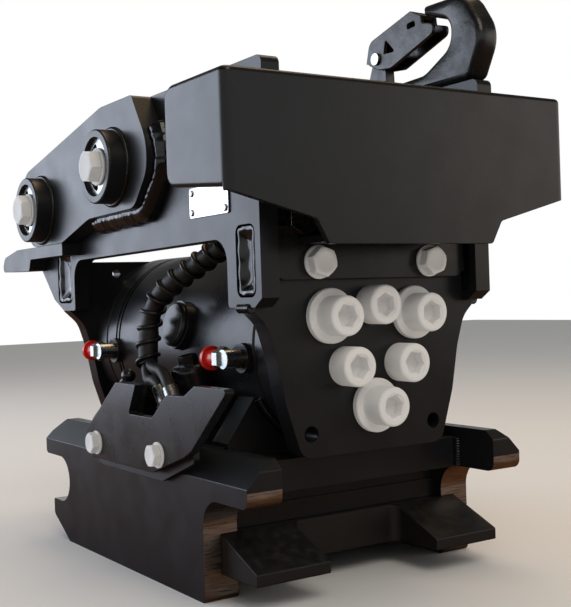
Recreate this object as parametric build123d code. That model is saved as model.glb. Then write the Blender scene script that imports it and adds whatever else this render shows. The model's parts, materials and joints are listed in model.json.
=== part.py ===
from build123d import *
import os
from math import asin, cos, degrees, radians, sin

# Tilting quick coupler for an excavator of about 7 to 10 tonnes, in millimetres.
# Everything is drawn about the tilt axis: X points forward, towards the front cover, Y points
# left, Z points up, and x = 0 is the front face of the front end plate. The last step stands the
# coupler on its base, centred on its own box. Left is +Y and right is -Y.

# Driving dimensions: upper frame, which the two arm pins hold
PLATE_GAP = 226.0            # clear width between the side plates, for the arm and the link
SIDE_THICKNESS = 18.0
EAR_THICKNESS = 22.0         # doubler on the outside of each side plate
TOP_Z = 250.0                # top edge of the side plates
SIDE_FRONT_X = 20.7          # front edge of the front legs
LUG_FRONT_X = 31.0           # front edge of the side plates inside the cover
LEG_BOTTOM_Z = 38.0
WINDOW_TOP_Z = 100.0
WINDOW_FRONT_X = -36.0
WINDOW_REAR_X = -393.0
WINDOW_CORNER = 22.0
LEG_REAR_X = -458.0
TAIL_X = -511.0              # rearmost corner of the side plates
TAIL_Z = 102.0
EAR_FRONT_X = -146.0
EAR_BOTTOM_Z = 137.0
EAR_WELD = 15.0              # leg of the weld round the doubler

# Arm pins
STICK_PIN_X, STICK_PIN_Z = -226.0, 184.5
LINK_PIN_X, LINK_PIN_Z = -432.0, 158.0
PIN_DIAMETER = 50.0
PIN_TAPER = 4.0              # how much thinner in radius the pin is at its ends
SLEEVE_WALL = 5.0            # expanding sleeve at the straight part of the pin
COLLAR_DIAMETER = 75.4
COLLAR_HEIGHT = 20.0
PIN_RECESS = 5.0             # how deep the pin washer lies inside its collar
PIN_WASHER_THICKNESS = 8.0
PIN_SCREW_AF = 30.0

# End plates and the screws that join them to the actuator shaft
END_PLATE_THICKNESS = 20.0
END_PLATE_SPACING = 390.0    # between the facing sides of the two end plates
END_PLATE_BOTTOM_Z = -98.0
FRONT_PLATE_TOP_Z = 136.0
REAR_PLATE_TOP_Z = 95.0
OUTER_SCREW_RADIUS = 56.0
INNER_SCREW_RADIUS = 36.6
SCREW_DIAMETER = 24.0
SCREW_HEAD_DIAMETER = 36.0
SCREW_WASHER_DIAMETER = 50.0
SCREW_WASHER_THICKNESS = 7.0
SCREW_REACH = 24.0           # length of screw inside the shaft flange
JACKING_HOLE_DIAMETER = 15.0
JACKING_HOLE_Y = 71.0
JACKING_HOLE_Z = -77.0
LEG_SLOT_CORNER = 8.0

# Front cover and its bracket
COVER_FRONT_X = 67.0
COVER_HALF_WIDTH = 189.0
COVER_SHEET = 6.0
COVER_TOP_Z = 229.0
COVER_SIDE_Z = 132.0         # lower edge of the front face at its sides
COVER_SHOULDER_Z = 110.0
COVER_BOTTOM_Z = 89.0
COVER_SHOULDER_Y = 104.0
COVER_BOTTOM_Y = 92.0
COVER_BACK_X = -36.0
COVER_FOLD_RADIUS = 8.0
COVER_FLANGE = 26.0
WING_BOTTOM_Z = 143.0
WING_CORNER = 14.0
BRACKET_THICKNESS = 8.0
BRACKET_HALF_WIDTH = 109.0
BRACKET_BOTTOM_Z = 61.0
BRACKET_TOP_Z = 108.0
BRACKET_SCREW_Y = 63.9
BRACKET_SCREW_Z = 76.3
BRACKET_SCREW_AF = 24.0

# Rotary actuator
HOUSING_RADIUS = 98.0
HOUSING_WALL = 20.0
FLANGE_THICKNESS = 30.0      # shaft flange behind each end plate
FLANGE_GAP = 0.7             # running gap between a shaft flange and the housing
SHAFT_RADIUS = 45.0
JOURNAL_RADIUS = 55.0
JOURNAL_LENGTH = 38.0
BEARING_LENGTH = 36.0
RING_GEAR_LENGTH = 80.0
RING_GEAR_WALL = 10.0
RING_GEAR_X = -200.0
PISTON_LENGTH = 25.0
PISTON_X = -287.0            # middle of the piston head with the coupler level
SLEEVE_LENGTH = 145.0
RUNNING_CLEARANCE = 0.05
TOOTH_CLEARANCE = 0.5
DISC_X, DISC_Z = -191.0, 20.0  # round boss with its plug on the right of the housing
DISC_RADIUS = 25.0
DISC_HEIGHT = 8.0
VALVE_X, VALVE_Z = -152.0, -50.0
VALVE_STANDOFF = 6.0

# Side blocks of the tool frame, which the attachment hangs on
AXIS_HEIGHT = 223.4          # tilt axis above the underside
BLOCK_GAP = 243.4
BLOCK_THICKNESS = 34.7
BLOCK_TOP_Z = -90.0
BLOCK_EDGE_Z = -112.0        # where the bevel meets the outer face
BLOCK_BEVEL = 21.4           # how far the bevel reaches inward at the top
NOSE_X = 28.0
NOSE_BOTTOM_Z = -129.5
JAW_X = -50.0                # back wall of the front jaw
JAW_CORNER = 26.0
HOOK_X = -390.0              # centre of the round seat at the rear
HOOK_Z = -154.5
HOOK_RADIUS = 25.5
HOOK_LENGTH = 44.0           # from the seat's centre to the rear nose
HOOK_LIP = 24.0
HOOK_FOOT = 21.0

# Wedge lock and its cylinder
WEDGE_TOP_Z = -164.0
WEDGE_BOTTOM_Z = -200.0
WEDGE_HALF_WIDTH = 138.5
WEDGE_REAR_X = -185.0
WEDGE_TIP_X = 10.0
WEDGE_TIP_TOP_Z = -189.0
TINE_INNER_Y = 62.0
WEDGE_STROKE = 60.0
WEDGE_CLEARANCE = 0.3
GUIDE_THICKNESS = 18.0
GUIDE_REAR_X = -250.0
GUIDE_FRONT_X = -60.0
COVER_PLATE_FRONT_X = -110.0
ROD_RADIUS = 16.0
ROD_SOCKET = 25.0
CYLINDER_Z = -182.0
CYLINDER_RADIUS = 35.0
CYLINDER_BORE_RADIUS = 27.5
CYLINDER_REAR_X = -350.0
CYLINDER_FRONT_X = -253.0
GLAND_LENGTH = 15.0
CAP_WALL = 8.0
LOCK_PISTON_LENGTH = 12.0

# Cross members of the tool frame
FRONT_BEAM_X = -24.0
FRONT_BEAM_DEPTH = 36.0
BEAM_CLEARANCE = 2.0         # under the actuator
SADDLE_THICKNESS = 28.0
SADDLE_FRONT_X = -62.0
SADDLE_REAR_X = -337.0
SADDLE_TOP_Z = -46.0
REAR_PLATE_THICKNESS = 12.0

# Hose guard on the right block
GUARD_THICKNESS = 9.0
GUARD_SEAL = 6.0
GUARD_SCREW_AF = 19.0
GUARD_SCREWS = ((-244.0, -97.0), (-103.0, -95.0))

# Hydraulic fittings and hoses
PORT_Z = -9.0
FRONT_PORT_X = -48.0
REAR_PORT_X = -352.0
PORT_STANDOFF = 17.0
HOSE_DIAMETER = 11.0
BUNDLE_DIAMETER = 24.0
BUNDLE_STANDOFF = 20.0       # centre line outside the housing where the bundle turns down
BULKHEAD_Y, BULKHEAD_Z = -82.0, 116.0
FERRULE_XS = (-155.0, -135.0)
FERRULE_Y = -142.0
FERRULE_Z = -38.0
FERRULE_LENGTH = 26.0
FERRULE_LEAN = Vector(-0.62, 0.0, 0.78).normalized()

# Lifting hook on the left side plate
HOOK_WIDTH = 26.0
LATCH_PIVOT_X, LATCH_PIVOT_Z = -120.0, 298.0
LATCH_PIN_RADIUS = 4.0

# Places that follow from the driving dimensions
SIDE_INNER = PLATE_GAP / 2
SIDE_OUTER = SIDE_INNER + SIDE_THICKNESS
EAR_OUTER = SIDE_OUTER + EAR_THICKNESS
COLLAR_OUTER = EAR_OUTER + COLLAR_HEIGHT
PIN_RADIUS = PIN_DIAMETER / 2
PIN_BORE_RADIUS = PIN_RADIUS + SLEEVE_WALL
FRONT_PLATE_BACK_X = -END_PLATE_THICKNESS
REAR_PLATE_X = FRONT_PLATE_BACK_X - END_PLATE_SPACING
REAR_PLATE_BACK_X = REAR_PLATE_X - END_PLATE_THICKNESS
HOUSING_FRONT_X = FRONT_PLATE_BACK_X - FLANGE_THICKNESS - FLANGE_GAP
HOUSING_REAR_X = REAR_PLATE_X + FLANGE_THICKNESS + FLANGE_GAP
BLOCK_INNER = BLOCK_GAP / 2
BLOCK_OUTER = BLOCK_INNER + BLOCK_THICKNESS
BASE_Z = -AXIS_HEIGHT
GUARD_INNER = BLOCK_OUTER + GUARD_SEAL
GUARD_OUTER = GUARD_INNER + GUARD_THICKNESS
GROOVE_TOP_Z = WEDGE_TOP_Z + WEDGE_CLEARANCE
GROOVE_BOTTOM_Z = WEDGE_BOTTOM_Z - WEDGE_CLEARANCE
PORT_Y = -(HOUSING_RADIUS + PORT_STANDOFF)
HOUSING_BORE_RADIUS = HOUSING_RADIUS - HOUSING_WALL
BEAM_TOP_Z = -(HOUSING_RADIUS + BEAM_CLEARANCE)
BUNDLE_Y = -(HOUSING_RADIUS + BUNDLE_STANDOFF)
REAR_NOSE_X = HOOK_X - HOOK_LENGTH
REAR_LIP_X = HOOK_X - HOOK_LIP
REAR_FOOT_X = HOOK_X + HOOK_FOOT
FRONT_SLOT = (FRONT_PLATE_BACK_X, 12.0)
REAR_SLOT = (REAR_PLATE_BACK_X - 14.0, REAR_PLATE_X + 10.0)
SIDE_CENTRE = SIDE_INNER + SIDE_THICKNESS / 2


def outline(points):
    """Closed face from (u, v, corner radius) points."""
    corners = [(u, v) for u, v, _ in points]
    return make_face(FilletPolyline(*corners, radius=[r for _, _, r in points], close=True))


def plate_xz(points, y_low, y_high):
    """Plate with an outline in X and Z, between two values of Y."""
    plane = Plane(origin=(0, y_high, 0), x_dir=(1, 0, 0), z_dir=(0, -1, 0))
    return extrude(plane * outline(points), amount=y_high - y_low)


def plate_yz(points, x_low, x_high):
    """Plate with an outline in Y and Z, between two values of X."""
    plane = Plane(origin=(x_low, 0, 0), x_dir=(0, 1, 0), z_dir=(1, 0, 0))
    return extrude(plane * outline(points), amount=x_high - x_low)


def block(x_low, x_high, y_low, y_high, z_low, z_high):
    """Box between two corners."""
    size = (x_high - x_low, y_high - y_low, z_high - z_low)
    centre = ((x_low + x_high) / 2, (y_low + y_high) / 2, (z_low + z_high) / 2)
    return Pos(*centre) * Box(*size)


def rod_x(y, z, radius, x_low, x_high):
    """Round bar along X."""
    return Pos((x_low + x_high) / 2, y, z) * Rot(0, 90, 0) * Cylinder(radius, x_high - x_low)


def rod_y(x, z, radius, y_low, y_high):
    """Round bar along Y."""
    return Pos(x, (y_low + y_high) / 2, z) * Rot(90, 0, 0) * Cylinder(radius, y_high - y_low)


def rod_z(x, y, radius, z_low, z_high):
    """Round bar along Z."""
    return Pos(x, y, (z_low + z_high) / 2) * Cylinder(radius, z_high - z_low)


def left(shape):
    """The same piece on the left side."""
    return mirror(shape, about=Plane.XZ)


def mirrored(points):
    """Close a half outline of (y, z, radius) points, given from top to bottom, over y = 0."""
    return points + [(-y, z, r) for y, z, r in reversed(points)]


def facing(x, y, z, direction):
    """Place a piece that is drawn along +Z so that it points along a direction."""
    return Plane(origin=(x, y, z), z_dir=direction).location


def hex_screw(flats, head, radius, length, washer_radius=0.0, washer=0.0):
    """Hexagon screw with its seat at z = 0 and its shank along -Z, and its washer if it has one."""
    crown = extrude(RegularPolygon(flats / 2, 6, major_radius=False), amount=head)
    dome = Cylinder(flats * 0.56, head, align=(Align.CENTER, Align.CENTER, Align.MIN))
    crown = Pos(0, 0, washer) * (crown & chamfer(dome.faces().sort_by(Axis.Z)[-1].edges(), head * 0.14))
    solid = crown + Pos(0, 0, washer - (length + washer) / 2) * Cylinder(radius, length + washer)
    if washer:
        solid += Cylinder(washer_radius, washer, align=(Align.CENTER, Align.CENTER, Align.MIN))
    return solid


def socket_screw(radius, head_radius, length):
    """Socket head cap screw with its seat at z = 0 and its shank along -Z."""
    head = 2 * radius
    solid = Cylinder(head_radius, head, align=(Align.CENTER, Align.CENTER, Align.MIN))
    solid = fillet(solid.faces().sort_by(Axis.Z)[-1].edges(), radius * 0.15)
    socket = extrude(RegularPolygon(radius * 0.8, 6, major_radius=False), amount=-radius)
    return solid - Pos(0, 0, head) * socket + Pos(0, 0, -length / 2) * Cylinder(radius, length)


def ring(radius, hole_radius, thickness):
    """Flat ring standing on z = 0."""
    low = (Align.CENTER, Align.CENTER, Align.MIN)
    return Cylinder(radius, thickness, align=low) - Cylinder(hole_radius, thickness, align=low)


def top_edge():
    """Shared top outline of the side plate and its doubler, from the crest to the tail."""
    return [(-252.0, TOP_Z, 60.0), (LINK_PIN_X - 66.0, LINK_PIN_Z + 46.0, 30.0)]


def leg_slot(x_low, x_high, shrink=0.0):
    """Slot through a leg, where an end plate is plug welded to the side plate."""
    x0, x1 = x_low + shrink, x_high - shrink
    z0, z1 = LEG_BOTTOM_Z + 9.0 + shrink, LEG_BOTTOM_Z + 72.0 - shrink
    r = LEG_SLOT_CORNER - shrink
    return [(x0, z0, r), (x1, z0, r), (x1, z1, r), (x0, z1, r)]


def pin_places():
    """X and Z of the two arm pins."""
    return ((STICK_PIN_X, STICK_PIN_Z), (LINK_PIN_X, LINK_PIN_Z))


def side_plate():
    """Right side plate: two legs round a window, an ear for the pins, and a slot in each leg."""
    points = [
        (SIDE_FRONT_X, LEG_BOTTOM_Z + 8.0, 0.0),
        (SIDE_FRONT_X, COVER_SIDE_Z - 4.0, 10.0),
        (LUG_FRONT_X, COVER_SIDE_Z + 14.0, 10.0),
        (LUG_FRONT_X, TOP_Z, 7.0),
        *top_edge(),
        (TAIL_X, TAIL_Z, 10.0),
        (LEG_REAR_X, LEG_BOTTOM_Z + 14.0, 8.0),
        (LEG_REAR_X + 30.0, LEG_BOTTOM_Z, 6.0),
        (WINDOW_REAR_X, LEG_BOTTOM_Z, 4.0),
        (WINDOW_REAR_X, WINDOW_TOP_Z - 4.0, WINDOW_CORNER),
        (WINDOW_FRONT_X, WINDOW_TOP_Z, WINDOW_CORNER),
        (WINDOW_FRONT_X, LEG_BOTTOM_Z, 4.0),
        (SIDE_FRONT_X - 12.0, LEG_BOTTOM_Z, 0.0),
    ]
    plate = plate_xz(points, -SIDE_OUTER, -SIDE_INNER)
    for slot in (FRONT_SLOT, REAR_SLOT):
        plate -= plate_xz(leg_slot(*slot), -SIDE_OUTER, -SIDE_INNER)
    for x, z in pin_places():
        plate -= rod_y(x, z, PIN_BORE_RADIUS, -SIDE_OUTER, -SIDE_INNER)
    return plate


def ear_outline():
    """Doubler outline: straight along the top, a deep curve at the front, a step below."""
    crest = EAR_FRONT_X - 30.0
    return [
        (crest, TOP_Z, 6.0),
        (EAR_FRONT_X, TOP_Z - 48.0, 50.0),
        (EAR_FRONT_X, EAR_BOTTOM_Z + 36.0, 30.0),
        (EAR_FRONT_X - 32.0, EAR_BOTTOM_Z + 2.0, 24.0),
        (LINK_PIN_X + 140.0, EAR_BOTTOM_Z, 60.0),
        (LINK_PIN_X + 60.0, LINK_PIN_Z - 42.0, 40.0),
        (LINK_PIN_X - 36.0, LINK_PIN_Z - 42.0, 26.0),
        (LINK_PIN_X - 62.0, LINK_PIN_Z - 8.0, 40.0),
        *reversed(top_edge()),
    ]


def ear_plate():
    """Right doubler, bored for both pins."""
    plate = plate_xz(ear_outline(), -EAR_OUTER, -SIDE_OUTER)
    for x, z in pin_places():
        plate -= rod_y(x, z, PIN_BORE_RADIUS, -EAR_OUTER, -SIDE_OUTER)
    return plate


def ear_weld():
    """Heavy weld along the front and lower edge of the right doubler."""
    rim = offset(outline(ear_outline()), amount=EAR_WELD)
    plane = Plane(origin=(0, -SIDE_OUTER, 0), x_dir=(1, 0, 0), z_dir=(0, -1, 0))
    bead = extrude(plane * rim, amount=EAR_WELD * 0.96, taper=45)
    bead -= plate_xz(ear_outline(), -EAR_OUTER, -SIDE_OUTER)
    end_x = LINK_PIN_X + 72.0
    reach = EAR_FRONT_X + 2 * EAR_WELD
    start_z = TOP_Z - 24.0
    return bead & block(end_x, reach, -EAR_OUTER, -SIDE_OUTER, LEG_BOTTOM_Z, start_z)


def pin_collars():
    """Four welded bosses round the pin ends."""
    group = []
    collar = ring(COLLAR_DIAMETER / 2, PIN_BORE_RADIUS, COLLAR_HEIGHT)
    for x, z in pin_places():
        boss = facing(x, -EAR_OUTER, z, (0, -1, 0)) * collar
        rim = boss.edges().filter_by(GeomType.CIRCLE).sort_by(Axis.Y)[0:2].sort_by(SortBy.RADIUS)[-1]
        boss = fillet(rim, 2.0)
        group += [boss, left(boss)]
    return group


def arm_pin(x, z):
    """Pin with a straight middle, tapered ends and a threaded hole in each end."""
    end = COLLAR_OUTER - PIN_RECESS - PIN_WASHER_THICKNESS
    straight = SIDE_INNER + 2.0
    thin = PIN_RADIUS - PIN_TAPER
    profile = [
        (0, -end),
        (thin, -end),
        (PIN_RADIUS, -straight),
        (PIN_RADIUS, straight),
        (thin, end),
        (0, end),
    ]
    body = revolve(make_face(Polyline(*profile, close=True)), Axis.Y)
    hole = PIN_SCREW_AF / 3
    depth = 35.0
    body -= rod_y(0, 0, hole, -end, -end + depth) + rod_y(0, 0, hole, end - depth, end)
    return Pos(x, 0, z) * body


def pin_sleeve():
    """Slotted sleeve, drawn on the right end of a pin at the origin, wedged between pin and bore."""
    outer = COLLAR_OUTER - PIN_RECESS - PIN_WASHER_THICKNESS
    inner = SIDE_INNER + 3.0
    slope = PIN_TAPER / (outer - SIDE_INNER - 2.0)
    bore_outer = PIN_RADIUS - PIN_TAPER + RUNNING_CLEARANCE
    bore_inner = bore_outer + slope * (outer - inner)
    wall = PIN_BORE_RADIUS - RUNNING_CLEARANCE
    profile = [(bore_outer, -outer), (wall, -outer), (wall, -inner), (bore_inner, -inner)]
    sleeve = revolve(make_face(Polyline(*profile, close=True)), Axis.Y)
    return sleeve - block(-1.5, 1.5, -outer, -inner, 0, PIN_BORE_RADIUS)


def pin_washer():
    """Pressure washer in the mouth of the collar, with three windows round its screw."""
    disc = ring(PIN_BORE_RADIUS - 2 * RUNNING_CLEARANCE, PIN_SCREW_AF / 3, PIN_WASHER_THICKNESS)
    for turn in (90, 210, 330):
        spot = (20.5 * cos(radians(turn)), 20.5 * sin(radians(turn)))
        window = extrude(SlotOverall(16.0, 8.0, rotation=90), PIN_WASHER_THICKNESS)
        disc -= Pos(*spot, 0) * Rot(0, 0, turn) * window
    return disc


def end_plate(top_z, x_low):
    """End plate: square between the side plates, with a waist that clears the tilting blocks."""
    half = [
        (SIDE_INNER, top_z, 0.0),
        (SIDE_INNER, LEG_BOTTOM_Z, 0.0),
        (SIDE_OUTER, LEG_BOTTOM_Z, 0.0),
        (SIDE_OUTER - 17.0, LEG_BOTTOM_Z - 16.0, 30.0),
        (SIDE_INNER - 8.0, -6.0, 60.0),
        (SIDE_INNER - 16.0, -48.0, 60.0),
        (SIDE_INNER - 32.0, END_PLATE_BOTTOM_Z, 14.0),
    ]
    plate = plate_yz(mirrored(half), x_low, x_low + END_PLATE_THICKNESS)
    clear = SCREW_DIAMETER / 2 + 1.0
    for y, z in outer_screws() + inner_screws():
        plate -= rod_x(y, z, clear, x_low, x_low + END_PLATE_THICKNESS)
    for y in (-JACKING_HOLE_Y, JACKING_HOLE_Y):
        hole = rod_x(y, JACKING_HOLE_Z, JACKING_HOLE_DIAMETER / 2, x_low, x_low + END_PLATE_THICKNESS)
        plate -= hole
    return plate


def circle_of(radius, start):
    """Y and Z of three places at equal angles on a circle about the tilt axis."""
    turns = [radians(start + 120 * i) for i in range(3)]
    return [(radius * cos(a), radius * sin(a)) for a in turns]


def outer_screws():
    """Places of the screws that have washers."""
    return circle_of(OUTER_SCREW_RADIUS, 30)


def inner_screws():
    """Places of the screws without washers."""
    return circle_of(INNER_SCREW_RADIUS, 90)


def front_end_plate():
    """Front end plate, with the hose hole and the threaded holes for the cover bracket."""
    plate = end_plate(FRONT_PLATE_TOP_Z, FRONT_PLATE_BACK_X)
    for y in (-BRACKET_SCREW_Y, BRACKET_SCREW_Y):
        plate -= rod_x(y, BRACKET_SCREW_Z, BRACKET_SCREW_AF / 3, FRONT_PLATE_BACK_X, 0)
    return plate - rod_x(BULKHEAD_Y, BULKHEAD_Z, BUNDLE_DIAMETER / 2, FRONT_PLATE_BACK_X, 0)


def rear_end_plate():
    """Rear end plate, with two small lifting holes near its top."""
    plate = end_plate(REAR_PLATE_TOP_Z, REAR_PLATE_BACK_X)
    for y in (-70.0, 70.0):
        plate -= rod_x(y, REAR_PLATE_TOP_Z - 14.0, 5.0, REAR_PLATE_BACK_X, REAR_PLATE_X)
    return plate


def top_cross_plate():
    """Plate that ties the side plates together behind the cover."""
    return block(-92.0, 12.0, -SIDE_INNER, SIDE_INNER, TOP_Z - 34.0, TOP_Z - 18.0)


def plug_weld(slot):
    """Weld that fills a leg slot, with a rounded face set back from the plate."""
    fit = 0.1
    bead = plate_xz(leg_slot(*slot, shrink=fit), -SIDE_OUTER + 5.0, -SIDE_INNER)
    face = bead.faces().sort_by(Axis.Y)[0]
    return fillet(face.edges(), 3.5)


def link_stop_bar():
    """Bar under the tail of the doubler, with a drooping round nose."""
    z = LINK_PIN_Z - 42.0 - 0.3
    points = [
        (LINK_PIN_X + 60.0, z, 0.0),
        (LINK_PIN_X - 92.0, z, 0.0),
        (TAIL_X - 62.0, z - 8.0, 10.0),
        (TAIL_X - 72.0, z - 26.0, 6.0),
        (TAIL_X + 28.0, z - 28.0, 6.0),
        (TAIL_X + 34.0, z - 14.0, 0.0),
        (LINK_PIN_X + 60.0, z - 14.0, 0.0),
    ]
    return plate_xz(points, -EAR_OUTER, -SIDE_OUTER)


def front_cover():
    """Folded guard: front face with a dropped middle, two wings, a top flange and a bottom flange."""
    t = COVER_SHEET
    back = COVER_FRONT_X - t
    w = COVER_HALF_WIDTH
    half = [
        (w, COVER_TOP_Z, 0.0),
        (w, COVER_SIDE_Z, 0.0),
        (COVER_SHOULDER_Y, COVER_SHOULDER_Z, 6.0),
        (COVER_BOTTOM_Y, COVER_BOTTOM_Z, 5.0),
    ]
    face = plate_yz(mirrored(half), back, COVER_FRONT_X)
    wing_points = [
        (back, COVER_TOP_Z, 0.0),
        (COVER_BACK_X, COVER_TOP_Z, WING_CORNER),
        (COVER_BACK_X, WING_BOTTOM_Z, WING_CORNER),
        (back, WING_BOTTOM_Z - 9.0, 0.0),
    ]
    wing = plate_xz(wing_points, -w, -w + t)
    shell = face + wing + left(wing)
    shell += block(back - COVER_FLANGE, back, -w + t, w - t, COVER_TOP_Z - t, COVER_TOP_Z)
    lower = COVER_BOTTOM_Y - 8.0
    floor = COVER_BOTTOM_Z + 3.0
    shell += block(BRACKET_THICKNESS, back, -lower, lower, floor, floor + t)
    corners = [e for e in shell.edges().filter_by(Axis.Z) if e.center().X > COVER_FRONT_X - 0.1]
    corners = [e for e in corners if abs(e.center().Y) > w - 0.1]
    shell = fillet(corners, COVER_FOLD_RADIUS)
    along = [e for e in shell.edges().filter_by(Axis.Y) if e.center().X > COVER_FRONT_X - 0.1]
    crest = [e for e in along if e.center().Z > COVER_TOP_Z - 0.1]
    return fillet(crest, COVER_SHEET - 1.5)


def cover_bracket():
    """Plate screwed to the front end plate, which carries the lower edge of the cover."""
    h = BRACKET_HALF_WIDTH
    half = [(h, BRACKET_TOP_Z, 0.0), (h, BRACKET_BOTTOM_Z, 11.0)]
    plate = plate_yz(mirrored(half), 0, BRACKET_THICKNESS)
    for y in (-BRACKET_SCREW_Y, BRACKET_SCREW_Y):
        plate -= rod_x(y, BRACKET_SCREW_Z, BRACKET_SCREW_AF / 3 + 0.5, 0, BRACKET_THICKNESS)
    hole = BUNDLE_DIAMETER / 2
    return plate - rod_x(BULKHEAD_Y, BULKHEAD_Z, hole, 0, BRACKET_THICKNESS)


def cover_hangers():
    """Two angles on the side plates, which carry the top flange of the cover."""
    top = COVER_TOP_Z - COVER_SHEET
    back = COVER_FRONT_X - COVER_SHEET
    shelf = block(LUG_FRONT_X, back - 2.0, -SIDE_OUTER, -SIDE_INNER, top - 10.0, top)
    web = [(LUG_FRONT_X, top - 10.0, 0.0), (LUG_FRONT_X, top - 44.0, 0.0), (back - 6.0, top - 10.0, 0.0)]
    hanger = shelf + plate_xz(web, -SIDE_OUTER + 4.0, -SIDE_INNER - 4.0)
    return [hanger, left(hanger)]


def cover_screws():
    """Two hexagon screws with washers in the cover bracket."""
    reach = END_PLATE_THICKNESS + BRACKET_THICKNESS - 4.0
    size = BRACKET_SCREW_AF / 3 - RUNNING_CLEARANCE
    screw = hex_screw(BRACKET_SCREW_AF, 10.0, size, reach, washer_radius=15.0, washer=3.0)
    places = [(-BRACKET_SCREW_Y, BRACKET_SCREW_Z), (BRACKET_SCREW_Y, BRACKET_SCREW_Z)]
    return [facing(BRACKET_THICKNESS, y, z, (1, 0, 0)) * screw for y, z in places]


def shaft_screws(seat_x, direction):
    """Three outer screws on washers and three inner screws, in one end plate."""
    radius = SCREW_DIAMETER / 2
    head_radius = SCREW_HEAD_DIAMETER / 2
    reach = END_PLATE_THICKNESS + SCREW_REACH
    inner = socket_screw(radius, head_radius, reach)
    outer = socket_screw(radius, head_radius, reach + SCREW_WASHER_THICKNESS)
    lift = seat_x + direction * SCREW_WASHER_THICKNESS
    group = [facing(seat_x, y, z, (direction, 0, 0)) * inner for y, z in inner_screws()]
    return group + [facing(lift, y, z, (direction, 0, 0)) * outer for y, z in outer_screws()]


def shaft_washers(seat_x, direction):
    """Thick washers under the three outer screws of one end plate."""
    washer = ring(SCREW_WASHER_DIAMETER / 2, SCREW_DIAMETER / 2 + 0.5, SCREW_WASHER_THICKNESS)
    return [facing(seat_x, y, z, (direction, 0, 0)) * washer for y, z in outer_screws()]


def flange_holes(x_mouth, direction):
    """Blind threaded holes for the shaft screws in a shaft flange."""
    depth = SCREW_REACH + 3.0
    radius = SCREW_DIAMETER / 2 + RUNNING_CLEARANCE
    x_low, x_high = sorted((x_mouth, x_mouth - direction * depth))
    holes = [rod_x(y, z, radius, x_low, x_high) for y, z in outer_screws() + inner_screws()]
    return Compound(children=holes)


def actuator_shaft():
    """Shaft with its front flange, a bearing journal, and a plain stretch for the piston."""
    front = FRONT_PLATE_BACK_X
    journal_end = HOUSING_FRONT_X - JOURNAL_LENGTH
    tail = REAR_PLATE_X + FLANGE_THICKNESS
    shaft = rod_x(0, 0, HOUSING_RADIUS, front - FLANGE_THICKNESS, front)
    shaft = chamfer(shaft.faces().sort_by(Axis.X)[0].edges(), 2.0)
    shaft += rod_x(0, 0, JOURNAL_RADIUS, journal_end, front - FLANGE_THICKNESS)
    shaft += rod_x(0, 0, SHAFT_RADIUS, tail, journal_end)
    return shaft - flange_holes(front, 1)


def rear_shaft_flange():
    """Rear flange with its own bearing journal, closed on the tail of the shaft."""
    journal_end = HOUSING_REAR_X + JOURNAL_LENGTH
    flange = rod_x(0, 0, HOUSING_RADIUS, REAR_PLATE_X, REAR_PLATE_X + FLANGE_THICKNESS)
    flange = chamfer(flange.faces().sort_by(Axis.X)[-1].edges(), 2.0)
    flange += rod_x(0, 0, JOURNAL_RADIUS, REAR_PLATE_X + FLANGE_THICKNESS, journal_end)
    socket = SHAFT_RADIUS + RUNNING_CLEARANCE
    flange -= rod_x(0, 0, socket, REAR_PLATE_X + FLANGE_THICKNESS, journal_end)
    return flange - flange_holes(REAR_PLATE_X, -1)


def actuator_housing():
    """Housing tube with a collar at each end and bosses for its ports."""
    tube = rod_x(0, 0, HOUSING_RADIUS, HOUSING_REAR_X, HOUSING_FRONT_X)
    for face in (tube.faces().sort_by(Axis.X)[0], tube.faces().sort_by(Axis.X)[-1]):
        tube = chamfer(tube.faces().sort_by_distance(face.center())[0].edges(), 2.0)
    for x in (HOUSING_REAR_X + 26.0, HOUSING_REAR_X + 34.0):
        groove = rod_x(0, 0, HOUSING_RADIUS, x - 2.0, x + 2.0)
        tube -= groove - rod_x(0, 0, HOUSING_RADIUS - 2.0, x - 2.0, x + 2.0)
    for x in (FRONT_PORT_X - 18.0, REAR_PORT_X):
        tube += rod_y(x, PORT_Z, 14.0, PORT_Y + 12.0, -HOUSING_RADIUS + 10.0)
    disc_angle = 180.0 - degrees(asin(DISC_Z / HOUSING_RADIUS))
    tube += disc_boss(disc_angle)
    return tube - rod_x(0, 0, HOUSING_BORE_RADIUS, HOUSING_REAR_X, HOUSING_FRONT_X)


def disc_boss(angle):
    """Round boss on the housing, for the access plug."""
    direction = (0, cos(radians(angle)), sin(radians(angle)))
    root = HOUSING_RADIUS - 12.0
    low = (Align.CENTER, Align.CENTER, Align.MIN)
    boss = Cylinder(DISC_RADIUS, DISC_HEIGHT + 12.0, align=low)
    return facing(DISC_X, direction[1] * root, direction[2] * root, direction) * boss


def access_plug():
    """Round plug screwed on the boss of the housing, with a bevelled rim."""
    angle = radians(180.0 - degrees(asin(DISC_Z / HOUSING_RADIUS)))
    direction = (0, cos(angle), sin(angle))
    seat = HOUSING_RADIUS + DISC_HEIGHT
    low = (Align.CENTER, Align.CENTER, Align.MIN)
    plug = Cylinder(DISC_RADIUS - 2.0, 5.0, align=low)
    plug = chamfer(plug.faces().sort_by(Axis.Z)[-1].edges(), 2.5)
    return facing(DISC_X, direction[1] * seat, direction[2] * seat, direction) * plug


def bearing(x_low, x_high):
    """Bearing ring between the housing bore and a shaft journal."""
    outer = rod_x(0, 0, HOUSING_BORE_RADIUS - RUNNING_CLEARANCE, x_low, x_high)
    return outer - rod_x(0, 0, JOURNAL_RADIUS + RUNNING_CLEARANCE, x_low, x_high)


def ring_gear():
    """Toothed ring fixed in the housing, which turns with the tool frame."""
    half = RING_GEAR_LENGTH / 2
    outer = rod_x(0, 0, HOUSING_BORE_RADIUS - RUNNING_CLEARANCE, RING_GEAR_X - half, RING_GEAR_X + half)
    bore = HOUSING_BORE_RADIUS - RING_GEAR_WALL
    return outer - rod_x(0, 0, bore, RING_GEAR_X - half, RING_GEAR_X + half)


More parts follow.
